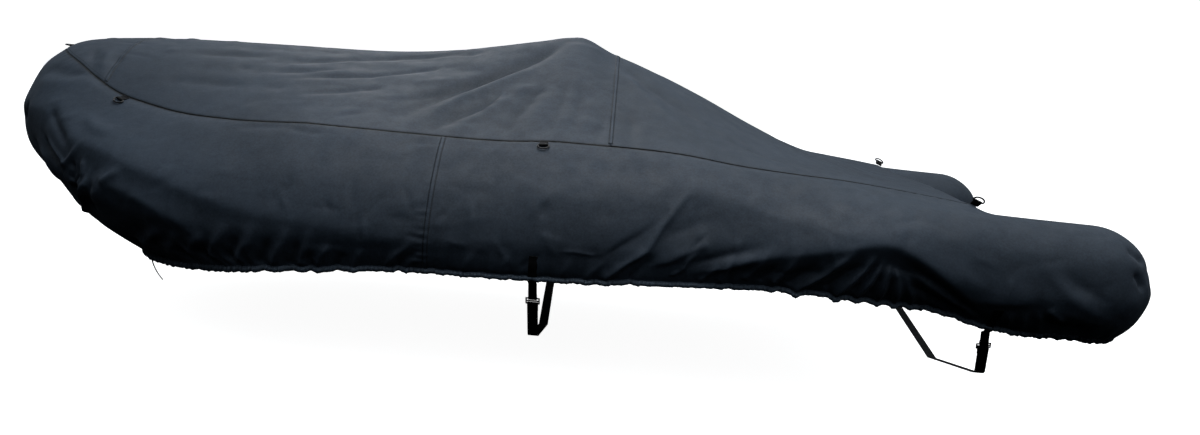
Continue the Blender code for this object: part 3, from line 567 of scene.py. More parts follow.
class Strip:
    """A length of the side's cloth: its grid, its place along the cover, and the light and shade painted into its
    colour.
    """

    def __init__(self, side, stations):
        self.side = side
        self.kinds = np.concatenate([np.full(len(where), kind) for kind, where in stations])
        self.where = np.concatenate([where for _, where in stations])
        base = np.concatenate([surface(kind, where, side) for kind, where in stations])
        steps = np.linalg.norm(np.diff(base, axis=1), axis=2)
        self.down = np.concatenate([np.zeros((len(base), 1)), np.cumsum(steps, axis=1)], axis=1)
        self.height = self.down[:, -1:] - self.down
        self.along = self.place_along()
        across = np.repeat(self.along[:, None], base.shape[1], axis=1)
        rise = self.folds(base, across)
        depth, width = SIDE_DIP
        edge = np.exp(-((self.down / width) ** 2)) * (self.along < SEAM_ENDS)[:, None]
        self.grid = base + facing(base, side) * (rise - depth * edge)[:, :, None]
        self.hang()
        self.normals = facing(self.grid, side)
        # Painted shading: nearly black in the groove beside the long seam, darker in the valleys of folds and
        # lighter on their crests.
        self.tone = 1.0 - 0.95 * edge + np.clip(rise, -0.02, 0.02) * 6.0
        self.uv = np.stack([across, self.height], axis=2)

    def folds(self, base, across):
        """How far folds, creases, gathers and puckers push out the cloth at every point of its grid."""
        rolled = np.where((self.kinds == "bow")[:, None], across, base[:, :, 0])
        shift = 0.0 if self.side == PORT else FAR_SHIFT
        rise = crease(rolled - shift, base[:, :, 2], SIDE_CREASES)
        rise[(self.kinds == "inner") | ((self.kinds == "turn") & (self.where > 90))] = 0
        rise += crease(across, self.height, SMALL[self.side])
        rise += self.gathers()
        rise *= ease(self.down / 0.035)
        return rise + self.puckers()

    def hang(self):
        """The gathered edge hangs nearly straight down, and the elastic draws it up along the sides."""
        for i, kind in enumerate(self.kinds):
            if kind in ("turn", "inner"):
                continue
            hung = 1 - float(ease((self.where[i] - HANG_ENDS) / HANG_FADE)) if kind == "side" else 1.0
            low = self.height[i] < HANG
            turn = read(HANG, self.height[i, ::-1], self.grid[i, ::-1])
            inward = self.grid[i, -1] - turn
            inward[2] = 0
            below = (HANG - self.height[i, low])[:, None]
            straight = turn + below * (np.array((0.0, 0.0, -HANG_FALL)) + HANG_INWARD * inward[None, :])
            self.grid[i, low] = (1 - hung) * self.grid[i, low] + hung * straight
            if kind == "side":
                drawn = HEM_LIFT * hung * float(ease((self.where[i] - BOW_START) / HEM_LIFT_START))
                self.grid[i, :, 2] += drawn * (1 - ease(self.height[i] / HEM_LIFT_HEIGHT))

    def place_along(self):
        """Distance along the cover: x on the side, and measured round the bow and the rounded end."""
        end = ROUNDED_ENDS[self.side]
        bow = BOW_START - np.interp(self.where, ARC_ANGLES, ARC)
        turn = end + ROUNDED_LENGTH * self.where / 90.0
        inner = 2 * end + 2 * ROUNDED_LENGTH - self.where
        return np.select([self.kinds == kind for kind in ("bow", "turn", "inner")], [bow, turn, inner], self.where)

    def gathers(self):
        """Short pleats that the elastic draws up above the hem, fading upwards."""
        x, seed = self.along + 3.0, int(2 + self.side)
        pleats = np.zeros(self.height.shape)
        for first, lengths, reach, rise in GATHERS:
            pleats += np.exp(-((self.height / reach) ** 2)) * waves(x, first + seed, lengths)[:, None] * rise
        strength = 0.5 + 0.5 * ease((waves(x, 25 + seed, (0.9, 0.57)) + 0.6) / 1.2)
        return pleats * strength[:, None]

    def puckers(self):
        """Small puckers where thread draws the cloth: below the long seam and ahead of the side seam."""
        x, seed = self.along, int(2 + self.side)
        strength = 0.35 + 0.65 * ease((waves(x, 35 + seed, (0.7, 0.45)) + 0.2) / 0.8)
        drawn = (waves(x, 45 + seed, (0.031, 0.047)) * strength)[:, None]
        below = np.exp(-(((self.down - 0.012) / 0.016) ** 2)) * drawn
        ahead = np.exp(-(((x - SIDE_SEAM + 0.016) / 0.020) ** 2))[:, None]
        beside = ahead * waves(self.height.ravel(), 55 + seed, (0.026, 0.037)).reshape(self.height.shape)
        return 0.0010 * below + 0.0016 * beside * ease(self.down / 0.02)

    def cut(self, first, last, from_row=0):
        return [getattr(self, name)[first:last, from_row:] for name in ("grid", "uv", "tone")]

    def station(self, kind, where):
        same = np.where(self.kinds == kind)[0]
        return int(same[np.argmin(abs(self.where[same] - where))])


class Top:
    """A length of the top's cloth, from port to starboard at every station."""

    def __init__(self, stations, trim=(0.0, 0.0), width=1.0, flap=False):
        edges = np.concatenate([lines(kind, where, PORT)[:, 0] for kind, where in stations])
        x, half, z = edges[:, 0].copy(), np.maximum(-edges[:, 1] - SEAM_GAP, 0.0), edges[:, 2]
        x[0] += trim[0]
        x[-1] += trim[1]
        t = TOP_COLUMNS * width
        ridge, full = smooth(RIDGE, 1, x)[:, None], smooth(RIDGE, 2, x)[:, None]
        away = np.sqrt(t * t + RIDGE_SOFT * RIDGE_SOFT) - RIDGE_SOFT
        away = away / (math.sqrt(1 + RIDGE_SOFT * RIDGE_SOFT) - RIDGE_SOFT)
        height = ridge + (z[:, None] - ridge) * away**full
        xs = np.repeat(x[:, None], len(t), axis=1)
        ys = half[:, None] * t
        if flap:
            xs, ys, height = self.add_flap(xs, ys, height, t)
        base = np.stack([xs, ys, height], axis=2)
        rise = self.folds(xs, ys) * (1 - np.abs(t)[None, :] ** 4)
        if flap:
            drop = np.clip((xs - TRANSOM) / 0.03, 0, 1)
            rise = rise * (1 - drop) + drop * 0.004 * np.sin(ys * 17 + 0.6 * np.sin(ys * 5))
        depth, dip_width = TOP_DIP
        gap = half.max() * (1 - np.abs(t))[None, :]
        edge = np.exp(-((gap / dip_width) ** 2)) * (xs < TRANSOM + 0.001)
        self.grid = base + facing(base, lift=1e-9) * (rise - depth * edge)[:, :, None]
        self.normals = facing(self.grid, lift=1e-9)
        # Painted shading: nearly black in the groove beside the long seams, darker in the valleys of folds and
        # lighter on their crests.
        self.tone = 1.0 - 0.95 * edge + np.clip(rise, -0.02, 0.02) * 8.0
        fallen = np.maximum(edges[-1, 2] - height, 0) * (xs > TRANSOM)
        self.uv = np.stack([xs + fallen, ys + 20.0], axis=2)

    def folds(self, xs, ys):
        """How far folds, creases and the long soft ripples ahead of the peak push up the cloth."""
        shift = np.where(ys > 0, TOP_FAR_SHIFT, 0.0)
        rise = TOP_STRENGTH * crease(xs - shift, -np.abs(ys), TOP_CREASES)
        rise += TOP_SMALL_STRENGTH * crease(xs, ys, SMALL_TOP)
        ripples = np.sin(ys * 62 + 1.4 * np.sin(xs * 3.1) + 0.8 * np.sin(xs * 7.3))
        return rise + 0.0012 * ripples * np.exp(-((xs + 1.0) / 0.8) ** 2)

    def add_flap(self, xs, ys, height, t):
        inner = surface("inner", [TRANSOM], STARBOARD)[0][CROWN_ROW + 1 :]
        z = float(lines("side", [TRANSOM], STARBOARD)[0, 0, 2]) - FLAP_ROWS * FLAP_DROP
        half = np.interp(-z, -inner[:, 2], inner[:, 1]) - FLAP_CLEARANCE
        x = TRANSOM + FLAP_TOP + FLAP_OUT * np.minimum(FLAP_ROWS * 3, 1)
        x[0] = TRANSOM + FLAP_START
        more = [np.repeat(x[:, None], len(t), axis=1), half[:, None] * t, np.repeat(z[:, None], len(t), axis=1)]
        return [np.concatenate([a, b]) for a, b in zip((xs, ys, height), more)]


# ---- building pieces
TRIMS = {}
STITCHES = {"top": [], "sides": [], "webbing": []}
STITCH_FACES = ((0, 2, 8, 3, 1), (2, 4, 9, 8), (8, 9, 5, 3), (9, 4, 6, 7, 5), (0, 1, 3, 5, 7, 6, 4, 2))

# Stitches in cloth and in webbing: length, gap, width and height. Each lies a little above the cloth.
CLOTH_STITCH = (0.0044, 0.0018, 0.0010, 0.0007)
WEBBING_STITCH = (0.0032, 0.0012, 0.0009, 0.0006)
STITCH_LIFT = 0.0001
STITCH_SUNK = 0.0004

# Section of the gathered hem: height above the edge, distance out of the cloth, and how far it is ruffled.
HEM_SECTION = np.array((
    (0.0275, 0.0004, 0.30, 0.2),
    (0.0260, 0.0030, 0.70, 0.6),
    (0.0215, 0.0066, 1.0, 1.0),
    (0.0150, 0.0086, 1.0, 0.9),
    (0.0080, 0.0076, 1.0, 0.7),
    (0.0025, 0.0044, 1.0, 0.4),
    (0.0000, 0.0, 1.0, 0.0),
    (0.0030, -0.0024, 0.9, 0.0),
    (0.0120, -0.0030, 0.7, 0.0),
    (0.0220, -0.0024, 0.5, 0.0),
))
HEM_STEP = 0.003

# Half of the section of webbing, as shares of its width and thickness. The other half is its negative.
WEBBING_SECTION = np.array(((-0.5, -0.15), (-0.48, -0.40), (-0.44, -0.5), (-0.22, -0.5), (0, -0.5), (0.22, -0.5),
                            (0.44, -0.5), (0.48, -0.40), (0.5, -0.15)))
WEBBING_SECTION = np.concatenate([WEBBING_SECTION, -WEBBING_SECTION])

# A felled seam: the share of its width at each line of stitches, how far it is raised, and how wide it is.
FELLED_LINES = (0.22, 0.78)
FELLED_RISE = 0.0016
FELLED_WIDTH = 0.018


def add_object(name, mesh, material):
    mesh.shade_smooth()
    mesh.materials.append(material)
    piece = bpy.data.objects.new(name, mesh)
    bpy.context.scene.collection.objects.link(piece)
    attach(piece, "root")
    return piece


def mesh_object(name, vertices, faces, material, uvs=None, tone=None):
    mesh = bpy.data.meshes.new(name)
    mesh.from_pydata(np.asarray(vertices, float).tolist(), [], faces)
    corner = np.empty(len(mesh.loops), np.int32)
    mesh.loops.foreach_get("vertex_index", corner)
    if uvs is not None:
        layer = mesh.uv_layers.new(name="cloth")
        layer.data.foreach_set("uv", np.asarray(uvs, np.float32)[corner].ravel())
    if tone is not None:
        layer = mesh.attributes.new("tone", "FLOAT", "POINT")
        layer.data.foreach_set("value", np.asarray(tone, np.float32))
    return add_object(name, mesh, MATERIALS[material])


def quads(index, flip=False):
    """Faces between the neighbours in a grid of vertex numbers."""
    corners = [index[:-1, :-1], index[1:, :-1], index[1:, 1:], index[:-1, 1:]]
    if flip:
        corners = corners[::-1]
    return np.stack([c.ravel() for c in corners], axis=1).tolist()


def tube(name, rings, material, uv, tone):
    """A closed tube from rings of points, with a face at each end."""
    index = np.arange(rings.shape[0] * rings.shape[1]).reshape(rings.shape[:2])
    faces = quads(np.concatenate([index, index[:, :1]], axis=1))
    faces += [index[0].tolist(), index[-1][::-1].tolist()]
    return mesh_object(name, rings.reshape(-1, 3), faces, material, uv.reshape(-1, 2), tone.ravel())


def cloth_panel(name, node, patches):
    """A panel of cloth from patches of (grid, uv, painted shading, flip)."""
    vertices, uvs, painted_shadings, faces, area = [], [], [], [], 0.0
    for grid, uv, tone, flip in patches:
        index = len(vertices) + np.arange(grid.shape[0] * grid.shape[1]).reshape(grid.shape[:2])
        faces += quads(index, flip)
        vertices += list(grid.reshape(-1, 3))
        uvs += list(uv.reshape(-1, 2))
        painted_shadings += list(tone.ravel())
        a, b, c, d = grid[:-1, :-1], grid[1:, :-1], grid[1:, 1:], grid[:-1, 1:]
        area += float(np.linalg.norm(np.cross(c - a, d - b), axis=2).sum() / 2)
    piece = mesh_object(name, vertices, faces, "cloth", uvs, painted_shadings)
    work = bmesh.new()
    work.from_mesh(piece.data)
    bmesh.ops.remove_doubles(work, verts=work.verts, dist=2e-5)
    work.to_mesh(piece.data)
    work.free()
    solidify = piece.modifiers.new("thickness", "SOLIDIFY")
    solidify.thickness = CLOTH
    solidify.offset = -1.0
    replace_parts(piece, node)


def trim_piece(piece, node):
    TRIMS.setdefault(node, []).append(piece)


def resample(points, step, *others):
    """Points at even steps along a path, with other per-point arrays read at the same places."""
    walked = walk(points)
    count = max(2, int(round(walked[-1] / step)) + 1)
    at = np.linspace(0, walked[-1], count)
    result = []
    for rows in (points, *others):
        result.append(read(at, walked, rows.reshape(len(rows), -1)).reshape((count,) + rows.shape[1:]))
    return at, result


def sew(points, out, group, stitch=CLOTH_STITCH):
    """Stitches along a path of points and outward directions."""
    length, gap, width, height = stitch
    points, out = np.asarray(points, float), unit(np.asarray(out, float))
    walked = walk(points)
    starts = np.arange(0.001, walked[-1] - length, (length + gap) * COARSE)
    if not len(starts):
        return
    a, b = read(starts, walked, points), read(starts + length, walked, points)
    up = unit(read(starts + length / 2, walked, out))
    ahead = unit(b - a)
    side = unit(np.cross(up, ahead)) * width / 2
    a, b = a + up * STITCH_LIFT, b + up * STITCH_LIFT
    low = -up * STITCH_SUNK
    high = up * height
    inner_a, inner_b = a + ahead * length * 0.2, b - ahead * length * 0.2
    corners = [a - side * 0.5 + low, a + side * 0.5 + low]
    for inner in (inner_a, inner_b):
        corners += [inner - side + high * 0.6, inner + side + high * 0.6]
    corners += [b - side * 0.5 + low, b + side * 0.5 + low, inner_a + high, inner_b + high]
    STITCHES[group].append(np.stack(corners, axis=1))


def stitching(group):
    corners = np.concatenate(STITCHES[group])
    faces = [[10 * k + i for i in face] for k in range(len(corners)) for face in STITCH_FACES]
    mesh_object("stitching_" + group, corners.reshape(-1, 3), faces, "thread")


def hem_band(name, node, grid, normals, height, seed, full):
    """The gathered hem: a flat tube of cloth with elastic in it, finely ruffled along its length."""
    up, away, ruffled, wrinkled = HEM_SECTION.T
    rings = np.empty((len(grid), len(up), 3))
    for i in range(len(grid)):
        row = height[i, ::-1]
        rings[i] = read(up, row, grid[i, ::-1]) + read(up, row, normals[i, ::-1]) * away[:, None] * full[i]
    centre = rings[:, 3].copy()
    at, (_, rings, out) = resample(centre, HEM_STEP * COARSE, rings, rings[:, 3] - rings[:, 8])
    fine = waves(at, seed, (0.0125, 0.0165, 0.0205))
    broad = waves(at, seed + 1, (0.043, 0.061, 0.11))
    strength = 0.80 + 0.35 * waves(at, seed + 2, (0.33, 0.57))
    strength = strength * (1.0 + 0.55 * waves(at, seed + 5, (0.047, 0.071)))
    move = (0.0034 * fine * strength + 0.0012 * broad)[:, None] * ruffled[None, :]
    move += 0.0012 * np.outer(waves(at, seed + 4, (0.009, 0.0115)), wrinkled)
    rings += unit(out)[:, None, :] * move[:, :, None]
    rings[:, 4:9, 2] += (0.0016 * waves(at, seed + 3, (0.019, 0.027, 0.05)))[:, None]
    # Painted light and shade: the hem is painted lighter where it bulges out fuller and on the ruffles that stand
    # out, darker in their hollows.
    tone = 0.68 + 0.32 * np.interp(at, walk(centre), full)[:, None] + 30.0 * move
    trim_piece(tube(name, rings, "hem", spread(at * 1.6, 40 + up), tone), node)
    sew(*resample(rings[:, 1], HEM_STEP, rings[:, 1] - rings[:, 9])[1], "sides")


def felled_seam(name, node, part, ends, group):
    """A flat seam: a raised strip over the join, with lines of stitches, along the columns of a part."""
    grid, normals = (rows.transpose(1, 0, 2)[ends:-ends] for rows in (part.grid, part.normals))
    count = grid.shape[1]
    across = np.linspace(-1, 1, count)
    bulge = FELLED_RISE * (1 - np.abs(across) ** 6) + 0.0002
    top = grid + normals * bulge[None, :, None]
    bottom = grid - normals * 0.0004
    rings = np.concatenate([top, bottom[:, ::-1]], axis=1)
    wide = np.linspace(0, FELLED_WIDTH, count)
    uv = spread(walk(grid[:, 0]), 60 + np.concatenate([wide, wide[::-1]]))
    # Painted shading: the raised strip is painted lighter along its middle and darker towards its edges, and its
    # underside nearly black.
    tone = np.concatenate([1.08 - 0.85 * np.abs(across) ** 5, np.full(count, 0.2)])
    trim_piece(tube(name, rings, "cloth", uv, np.repeat(tone[None, :], len(grid), axis=0)), node)
    for share in FELLED_LINES:
        k = share * (count - 1)
        low, part = int(k), k - int(k)
        sew(top[:, low] * (1 - part) + top[:, min(low + 1, count - 1)] * part, normals[:, low], group)


def webbing(name, path, width, thickness, stitched=()):
    """Woven webbing along a path of (point, direction of its width), with rounded edges."""
    points = np.array([tuple(p) for p, _ in path])
    across = np.array([tuple(a) for _, a in path])
    keep = np.concatenate([[True], np.linalg.norm(np.diff(points, axis=0), axis=1) > 1e-5])
    points, across = points[keep], across[keep]
    walked = walk(points)
    at = [0.0]
    for a, b in zip(walked[:-1], walked[1:]):
        pieces = max(1, int(math.ceil((b - a) / 0.012)))
        at += list(a + (b - a) * np.arange(1, pieces + 1) / pieces)
    at = np.array(at)
    points, across = read(at, walked, points), read(at, walked, across)
    tangent = unit(np.gradient(points, axis=0))
    across = unit(across - tangent * (across * tangent).sum(1)[:, None])
    normal = np.cross(tangent, across)
    section = WEBBING_SECTION * (width, thickness)
    rings = np.stack([points + across * u + normal * v for u, v in section], axis=1)
    piece = tube(name, rings, "webbing", spread(at, section[:, 0]), np.ones(rings.shape[:2]))
    for start, stop, share, face in stitched:
        chosen = (at >= start) & (at <= stop)
        line = points[chosen] + across[chosen] * share * width + normal[chosen] * face * thickness / 2
        sew(line, normal[chosen] * face, "webbing", WEBBING_STITCH)
    return piece


# ---- fittings
LAID_ON = 0.0008
SEWN_ON = 0.0010
WEBBING = 0.0015
TAB_WIDTH = 0.030
TAB_LENGTH = 0.028
TAB_ROOT = 0.007
TAB_SEWN = 0.022
SEWN_EDGE = 0.002
RING_WIDTH = 0.045
RING_DEPTH = 0.024
RING_WIRE = 0.0028
RING_CORNER = 0.0045
WIRE_SIDES = 14
PLAY = 0.0004
BUCKLE_LENGTH = 0.034
BUCKLE_WIDTH = 0.050
BUCKLE_BAR = 0.0024
BUCKLE_ROUNDING = 0.0016
BUCKLE_HANG = 0.120
STRAP_WIDTH = 0.038
STRAP_TAB_WIDTH = 0.030
STRAP_TAIL = 0.045
STRAP_BEND = 0.03
TIE_ANGLE = 67.5
TIE_WIDTH = 0.012
TIE_THICKNESS = 0.0012
TIE_LENGTH = 0.135
TIE_CURL = 0.050
TIE_SWAY = 0.006

# Each ring: name, kind of place, side, where, tilt out of the cloth, lift.
RING_PLACES = (
    ("bow_port", "bow", PORT, 37.5, 14, 0.0),
    ("bow_starboard", "bow", STARBOARD, 37.5, 14, 0.0006),
    ("middle_port", "side", PORT, -0.07, 3, 0.0),
    ("middle_starboard", "side", STARBOARD, -0.07, 3, 0.0),
    ("stern_port", "side", PORT, 1.438, 50, 0.0010),
    ("stern_starboard", "side", STARBOARD, 1.438, 40, 0.0014),
    ("bow_tip", "bow", PORT, 90.0, 45, 0.0),
)

# Each strap: name, x, where its tab is sewn from, the corner it turns round, and its middle underneath.
STRAPS = (
    ("middle", -0.060, -0.729, (-0.056, 0.605, -1.078), (-0.050, 0.0, -1.200)),
    ("stern", 1.475, -0.756, (1.570, 0.590, -1.068), (1.600, 0.0, -1.190)),
)


def sweep(name, centres, radius):
    """A round wire along a closed loop of points."""
    count = len(centres)
    points = np.array([tuple(c) for c in centres])
    tangent = unit(np.roll(points, -1, axis=0) - np.roll(points, 1, axis=0))
    flat = unit(np.cross(points[1] - points[0], points[count // 2] - points[0]))
    side = unit(np.cross(tangent, flat))
    angle = (np.arange(WIRE_SIDES) * 2 * math.pi / WIRE_SIDES)[None, :, None]
    rings = points[:, None] + radius * (side[:, None] * np.cos(angle) + flat[None, None, :] * np.sin(angle))
    index = np.arange(count * WIRE_SIDES).reshape(count, WIRE_SIDES)
    beside = np.roll(index, -1, axis=1)
    corners = (index, beside, np.roll(beside, -1, axis=0), np.roll(index, -1, axis=0))
    faces = np.stack([c.ravel() for c in corners], axis=1).tolist()
    return mesh_object(name, rings.reshape(-1, 3), faces, "plastic")


def arc(centre, radii, angles):
    """Points in a plane on an arc, or on part of an ellipse, at angles in degrees."""
    turns = [math.radians(a) for a in angles]
    return [(centre[0] + radii[0] * math.cos(a), centre[1] + radii[1] * math.sin(a)) for a in turns]


def length_of(path):
    return sum((b - a).length for a, b in zip(path[:-1], path[1:]))


def ring_outline():
    """The wire's loop, from the middle of its straight bar's plane: the bar, two corners and the bow."""
    half = RING_WIDTH / 2 - RING_WIRE
    depth = RING_DEPTH - RING_WIRE - RING_CORNER
    inside = half - RING_CORNER
    corner = (RING_CORNER, RING_CORNER)
    outline = [(u, 0.0) for u in np.linspace(-inside, inside, 9)]
    outline += arc((inside, RING_CORNER), corner, [-90 + 15 * k for k in range(1, 7)])
    outline += arc((0.0, RING_CORNER), (half, depth), [7.5 * k for k in range(1, 24)])
    return outline + arc((-inside, RING_CORNER), corner, [180 + 15 * k for k in range(6)])


def ring_and_tab(name, kind, side, where, tilt, lift):
    step = 7.5 if kind == "bow" else 0.05
    near = surface(kind, [where - step, where, where + step], side)
    root = Vector(near[1, 0])
    level = int(np.argmin(abs(SIDE_ROWS - 0.30)))
    down = (Vector(near[1, level]) - root).normalized()
    along = Vector(near[2, 0] - near[0, 0]) * (-1 if kind == "bow" else 1)
    if where == 90.0:
        along = Vector((0, 1, 0))
    out = along.cross(down).normalized()
    if out.z < 0:
        out = -out
    along = down.cross(out).normalized()
    turn = math.radians(tilt)
    ahead = down * math.cos(turn) + out * math.sin(turn)
    rise = out * math.cos(turn) - down * math.sin(turn)
    loop = RING_WIRE + PLAY + WEBBING / 2
    root += down * 0.002
    root = root + out * (LAID_ON + WEBBING / 2 + lift)
    start = root + down * TAB_ROOT
    reach = TAB_LENGTH - TAB_ROOT

    def at(forward, up):
        return start + ahead * forward + rise * up

    path = [root, root.lerp(start, 0.6), start.lerp(at(reach * 0.6, 0), 0.15), at(reach * 0.6, 0)]
    path += [at(*place) for place in arc((reach, loop), (loop, loop), [-90 + 11.25 * k for k in range(19)])]
    layer = WEBBING + 0.0005
    bend = (out + rise) * (layer / (1 + math.cos(turn)))
    path += [at(reach * 0.35, layer + PLAY), start + bend, root + out * layer]
    total = length_of(path)
    rows = [(total - TAB_SEWN, total - SEWN_EDGE, share, 1) for share in (-0.40, 0.40)]
    tab = webbing("tab_show_" + name, [(p, along) for p in path], TAB_WIDTH, WEBBING, rows)
    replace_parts(tab, "tab_" + name)
    for share in (0.15, 0.85):
        middle = (root + out * layer).lerp(start + bend, share) + out * WEBBING * 0.5
        line = [middle + along * TAB_WIDTH * s for s in np.linspace(-0.40, 0.40, 9)]
        sew(line, [out] * 9, "webbing", WEBBING_STITCH)
    centre = at(reach, loop)
    ring = sweep("ring_show_" + name, [centre + along * u + ahead * v for u, v in ring_outline()], RING_WIRE)
    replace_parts(ring, "ring_" + name)


def side_path(side, x, from_z, offset):
    """Down the outer face of the visual side from a height to the hem, a little off the cloth."""
    strip = STRIPS[side]
    rows = np.where(strip.kinds == "side")[0]
    rows = rows[np.argsort(strip.where[rows])]
    start = int(np.argmin(abs(SIDE_ROWS - 2.0)))
    section, normals = (
        np.array([read(x, strip.where[rows], g[rows, j]) for j in range(start, g.shape[1])])
        for g in (strip.grid, strip.normals)
    )
    levels = np.linspace(from_z, section[-1, 2] - 0.001, 26)
    points = read(-levels, -section[:, 2], section)
    outs = unit(read(-levels, -section[:, 2], unit(normals)))
    outs[:, 0] = 0
    outs = unit(outs)
    band = np.clip((section[-1, 2] + 0.032 - levels) / 0.008, 0, 1) * 0.0046
    y = points[:, 1] * side
    relief = np.maximum(np.convolve(np.pad(y, 2, "edge"), np.ones(5) / 5, "valid") - y, 0.0)
    return [Vector(p + o * (offset + b + r)) for p, o, b, r in zip(points, outs, band, relief)]


def loop_end(bar, before, back, radius, tail):
    """The end of a strap, from before a bar round it, and back on the other side for the tail."""
    direction = (bar - before).normalized()
    out = (back - direction * back.dot(direction)).normalized()
    points = [bar - direction * 0.008 + out * radius]
    for u, v in arc((0.0, 0.0), (radius, radius), [90 - 11.25 * k for k in range(17)]):
        points.append(bar + direction * u + out * v)
    points.append(bar - direction * tail * 0.5 - out * radius * 0.6)
    points.append(bar - direction * tail - out * (radius * 0.5))
    return points


def buckle(name, centre, along, down, out):
    """A two-slot slider with rounded bars, built as one closed frame."""
    work = bmesh.new()
    side, half = BUCKLE_WIDTH / 2, BUCKLE_LENGTH / 2
    xs = (-side, -side + 2 * BUCKLE_BAR, side - 2 * BUCKLE_BAR, side)
    ys = (-half, -half + 2 * BUCKLE_BAR, -BUCKLE_BAR, BUCKLE_BAR, half - 2 * BUCKLE_BAR, half)
    corners = {}
    for level, z in enumerate((-BUCKLE_BAR, BUCKLE_BAR)):
        for i, x in enumerate(xs):
            for j, y in enumerate(ys):
                corners[i, j, level] = work.verts.new((x, y, z))
    slots = {(1, 1), (1, 3)}
    cells = {(i, j) for i in range(3) for j in range(5)} - slots
    for i, j in cells:
        ring = [(i, j), (i + 1, j), (i + 1, j + 1), (i, j + 1)]
        work.faces.new([corners[(*p, 1)] for p in ring])
        work.faces.new([corners[(*p, 0)] for p in (ring[0], ring[3], ring[2], ring[1])])
        for k, beside in enumerate(((i, j - 1), (i + 1, j), (i, j + 1), (i - 1, j))):
            if beside not in cells:
                p, q = ring[k], ring[(k + 1) % 4]
                work.faces.new([corners[(*p, 0)], corners[(*q, 0)], corners[(*q, 1)], corners[(*p, 1)]])
    bmesh.ops.recalc_face_normals(work, faces=work.faces)
    axes = Matrix((along, down, out)).transposed().to_4x4()
    bmesh.ops.transform(work, matrix=Matrix.Translation(centre) @ axes, verts=work.verts)
    mesh = bpy.data.meshes.new("buckle_show_" + name)
    work.to_mesh(mesh)
    work.free()
    piece = add_object("buckle_show_" + name, mesh, MATERIALS["plastic"])
    bevel = piece.modifiers.new("rounding", "BEVEL")
    bevel.width = BUCKLE_ROUNDING
    bevel.segments = 3
    bevel.limit_method = "ANGLE"
    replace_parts(piece, "buckle_" + name)


def strap_run(bar, corner, keel):
    """A strap from a bar round a soft corner to its middle underneath."""
    first = corner + (bar - corner).normalized() * STRAP_BEND
    last = corner + (keel - corner).normalized() * STRAP_BEND
    shares = [k / 12 for k in range(13)]
    points = [first * (1 - t) ** 2 + corner * 2 * t * (1 - t) + last * t * t for t in shares]
    return points + [(last + keel) / 2, keel]


def strap_end(name, side, x, sewn_from, corner, keel):
    """A strap's tab with its stitches and buckle, and the strap's path from that buckle to its middle."""
    tab = side_path(side, x, sewn_from, SEWN_ON + WEBBING / 2)
    hem = Vector((tab[-1].x, side * float(np.interp(x, HEM_PLACES[:, 0], HEM_PLACES[:, 1])), tab[-1].z))
    down = (corner - hem).normalized()
    forward = Vector((1, 0, 0))
    along = (forward - down * forward.dot(down)).normalized()
    out = along.cross(down)
    if out.y * side < 0:
        along, out = -along, -out
    centre = hem + down * BUCKLE_HANG
    bar_gap = BUCKLE_LENGTH / 2 - BUCKLE_BAR
    radius = BUCKLE_BAR * math.sqrt(2) + PLAY + WEBBING / 2
    loop = [hem + down * 0.020 + out * 0.001] + loop_end(centre - down * bar_gap, hem, out, radius, 0.02)
    sewn = length_of(tab)
    face = -1 if side < 0 else 1
    rows = [(SEWN_EDGE, sewn - 0.010, share, face) for share in (-0.42, 0.42)]
    path = [(p, forward) for p in tab + loop]
    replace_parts(webbing("strap_tab_show_" + name, path, STRAP_TAB_WIDTH, WEBBING, rows), "strap_tab_" + name)
    for share in (0.04, 0.46):
        spot = tab[int(share * (len(tab) - 1))]
        outward = Vector((0, side, 0.2)).normalized()
        middle = spot + outward * WEBBING * 0.55
        line = [middle + forward * STRAP_TAB_WIDTH * s for s in np.linspace(-0.42, 0.42, 9)]
        sew(line, [outward] * 9, "webbing", WEBBING_STITCH)
    buckle(name, centre, along, down, out)
    lower_bar = centre + down * bar_gap
    hook = loop_end(lower_bar, corner, out, radius, STRAP_TAIL)[::-1]
    return [(p, forward) for p in hook + strap_run(lower_bar, corner, keel)]


def belly_strap(name, x, sewn_from, chine, keel):
    ends = {}
    for label, side in SIDES:
        corner = Vector((chine[0], side * chine[1], chine[2]))
        ends[side] = strap_end(name + "_" + label, side, x, sewn_from, corner, Vector(keel))
    strap = webbing("strap_show_" + name, ends[PORT] + ends[STARBOARD][-2::-1], STRAP_WIDTH, WEBBING)
    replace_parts(strap, "strap_" + name)


def bow_tie():
    """The flat end of the draw tape that comes out of the hem beside the bow."""
    start = Vector(lines("bow", [TIE_ANGLE], PORT)[0, -1]) + Vector((0, 0, -0.0004))
    path = []
    for k in range(41):
        t = k / 40
        fall = TIE_LENGTH * t * (1 - 0.03 * t)
        path.append(start + Vector((TIE_CURL * t**2.2, -TIE_SWAY * math.sin(2.5 * t), -fall)))
    across = Vector((0.75, -0.66, 0))
    piece = webbing("bow_tie_show", [(p, across) for p in path], TIE_WIDTH, TIE_THICKNESS)
    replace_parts(piece, "bow_tie")


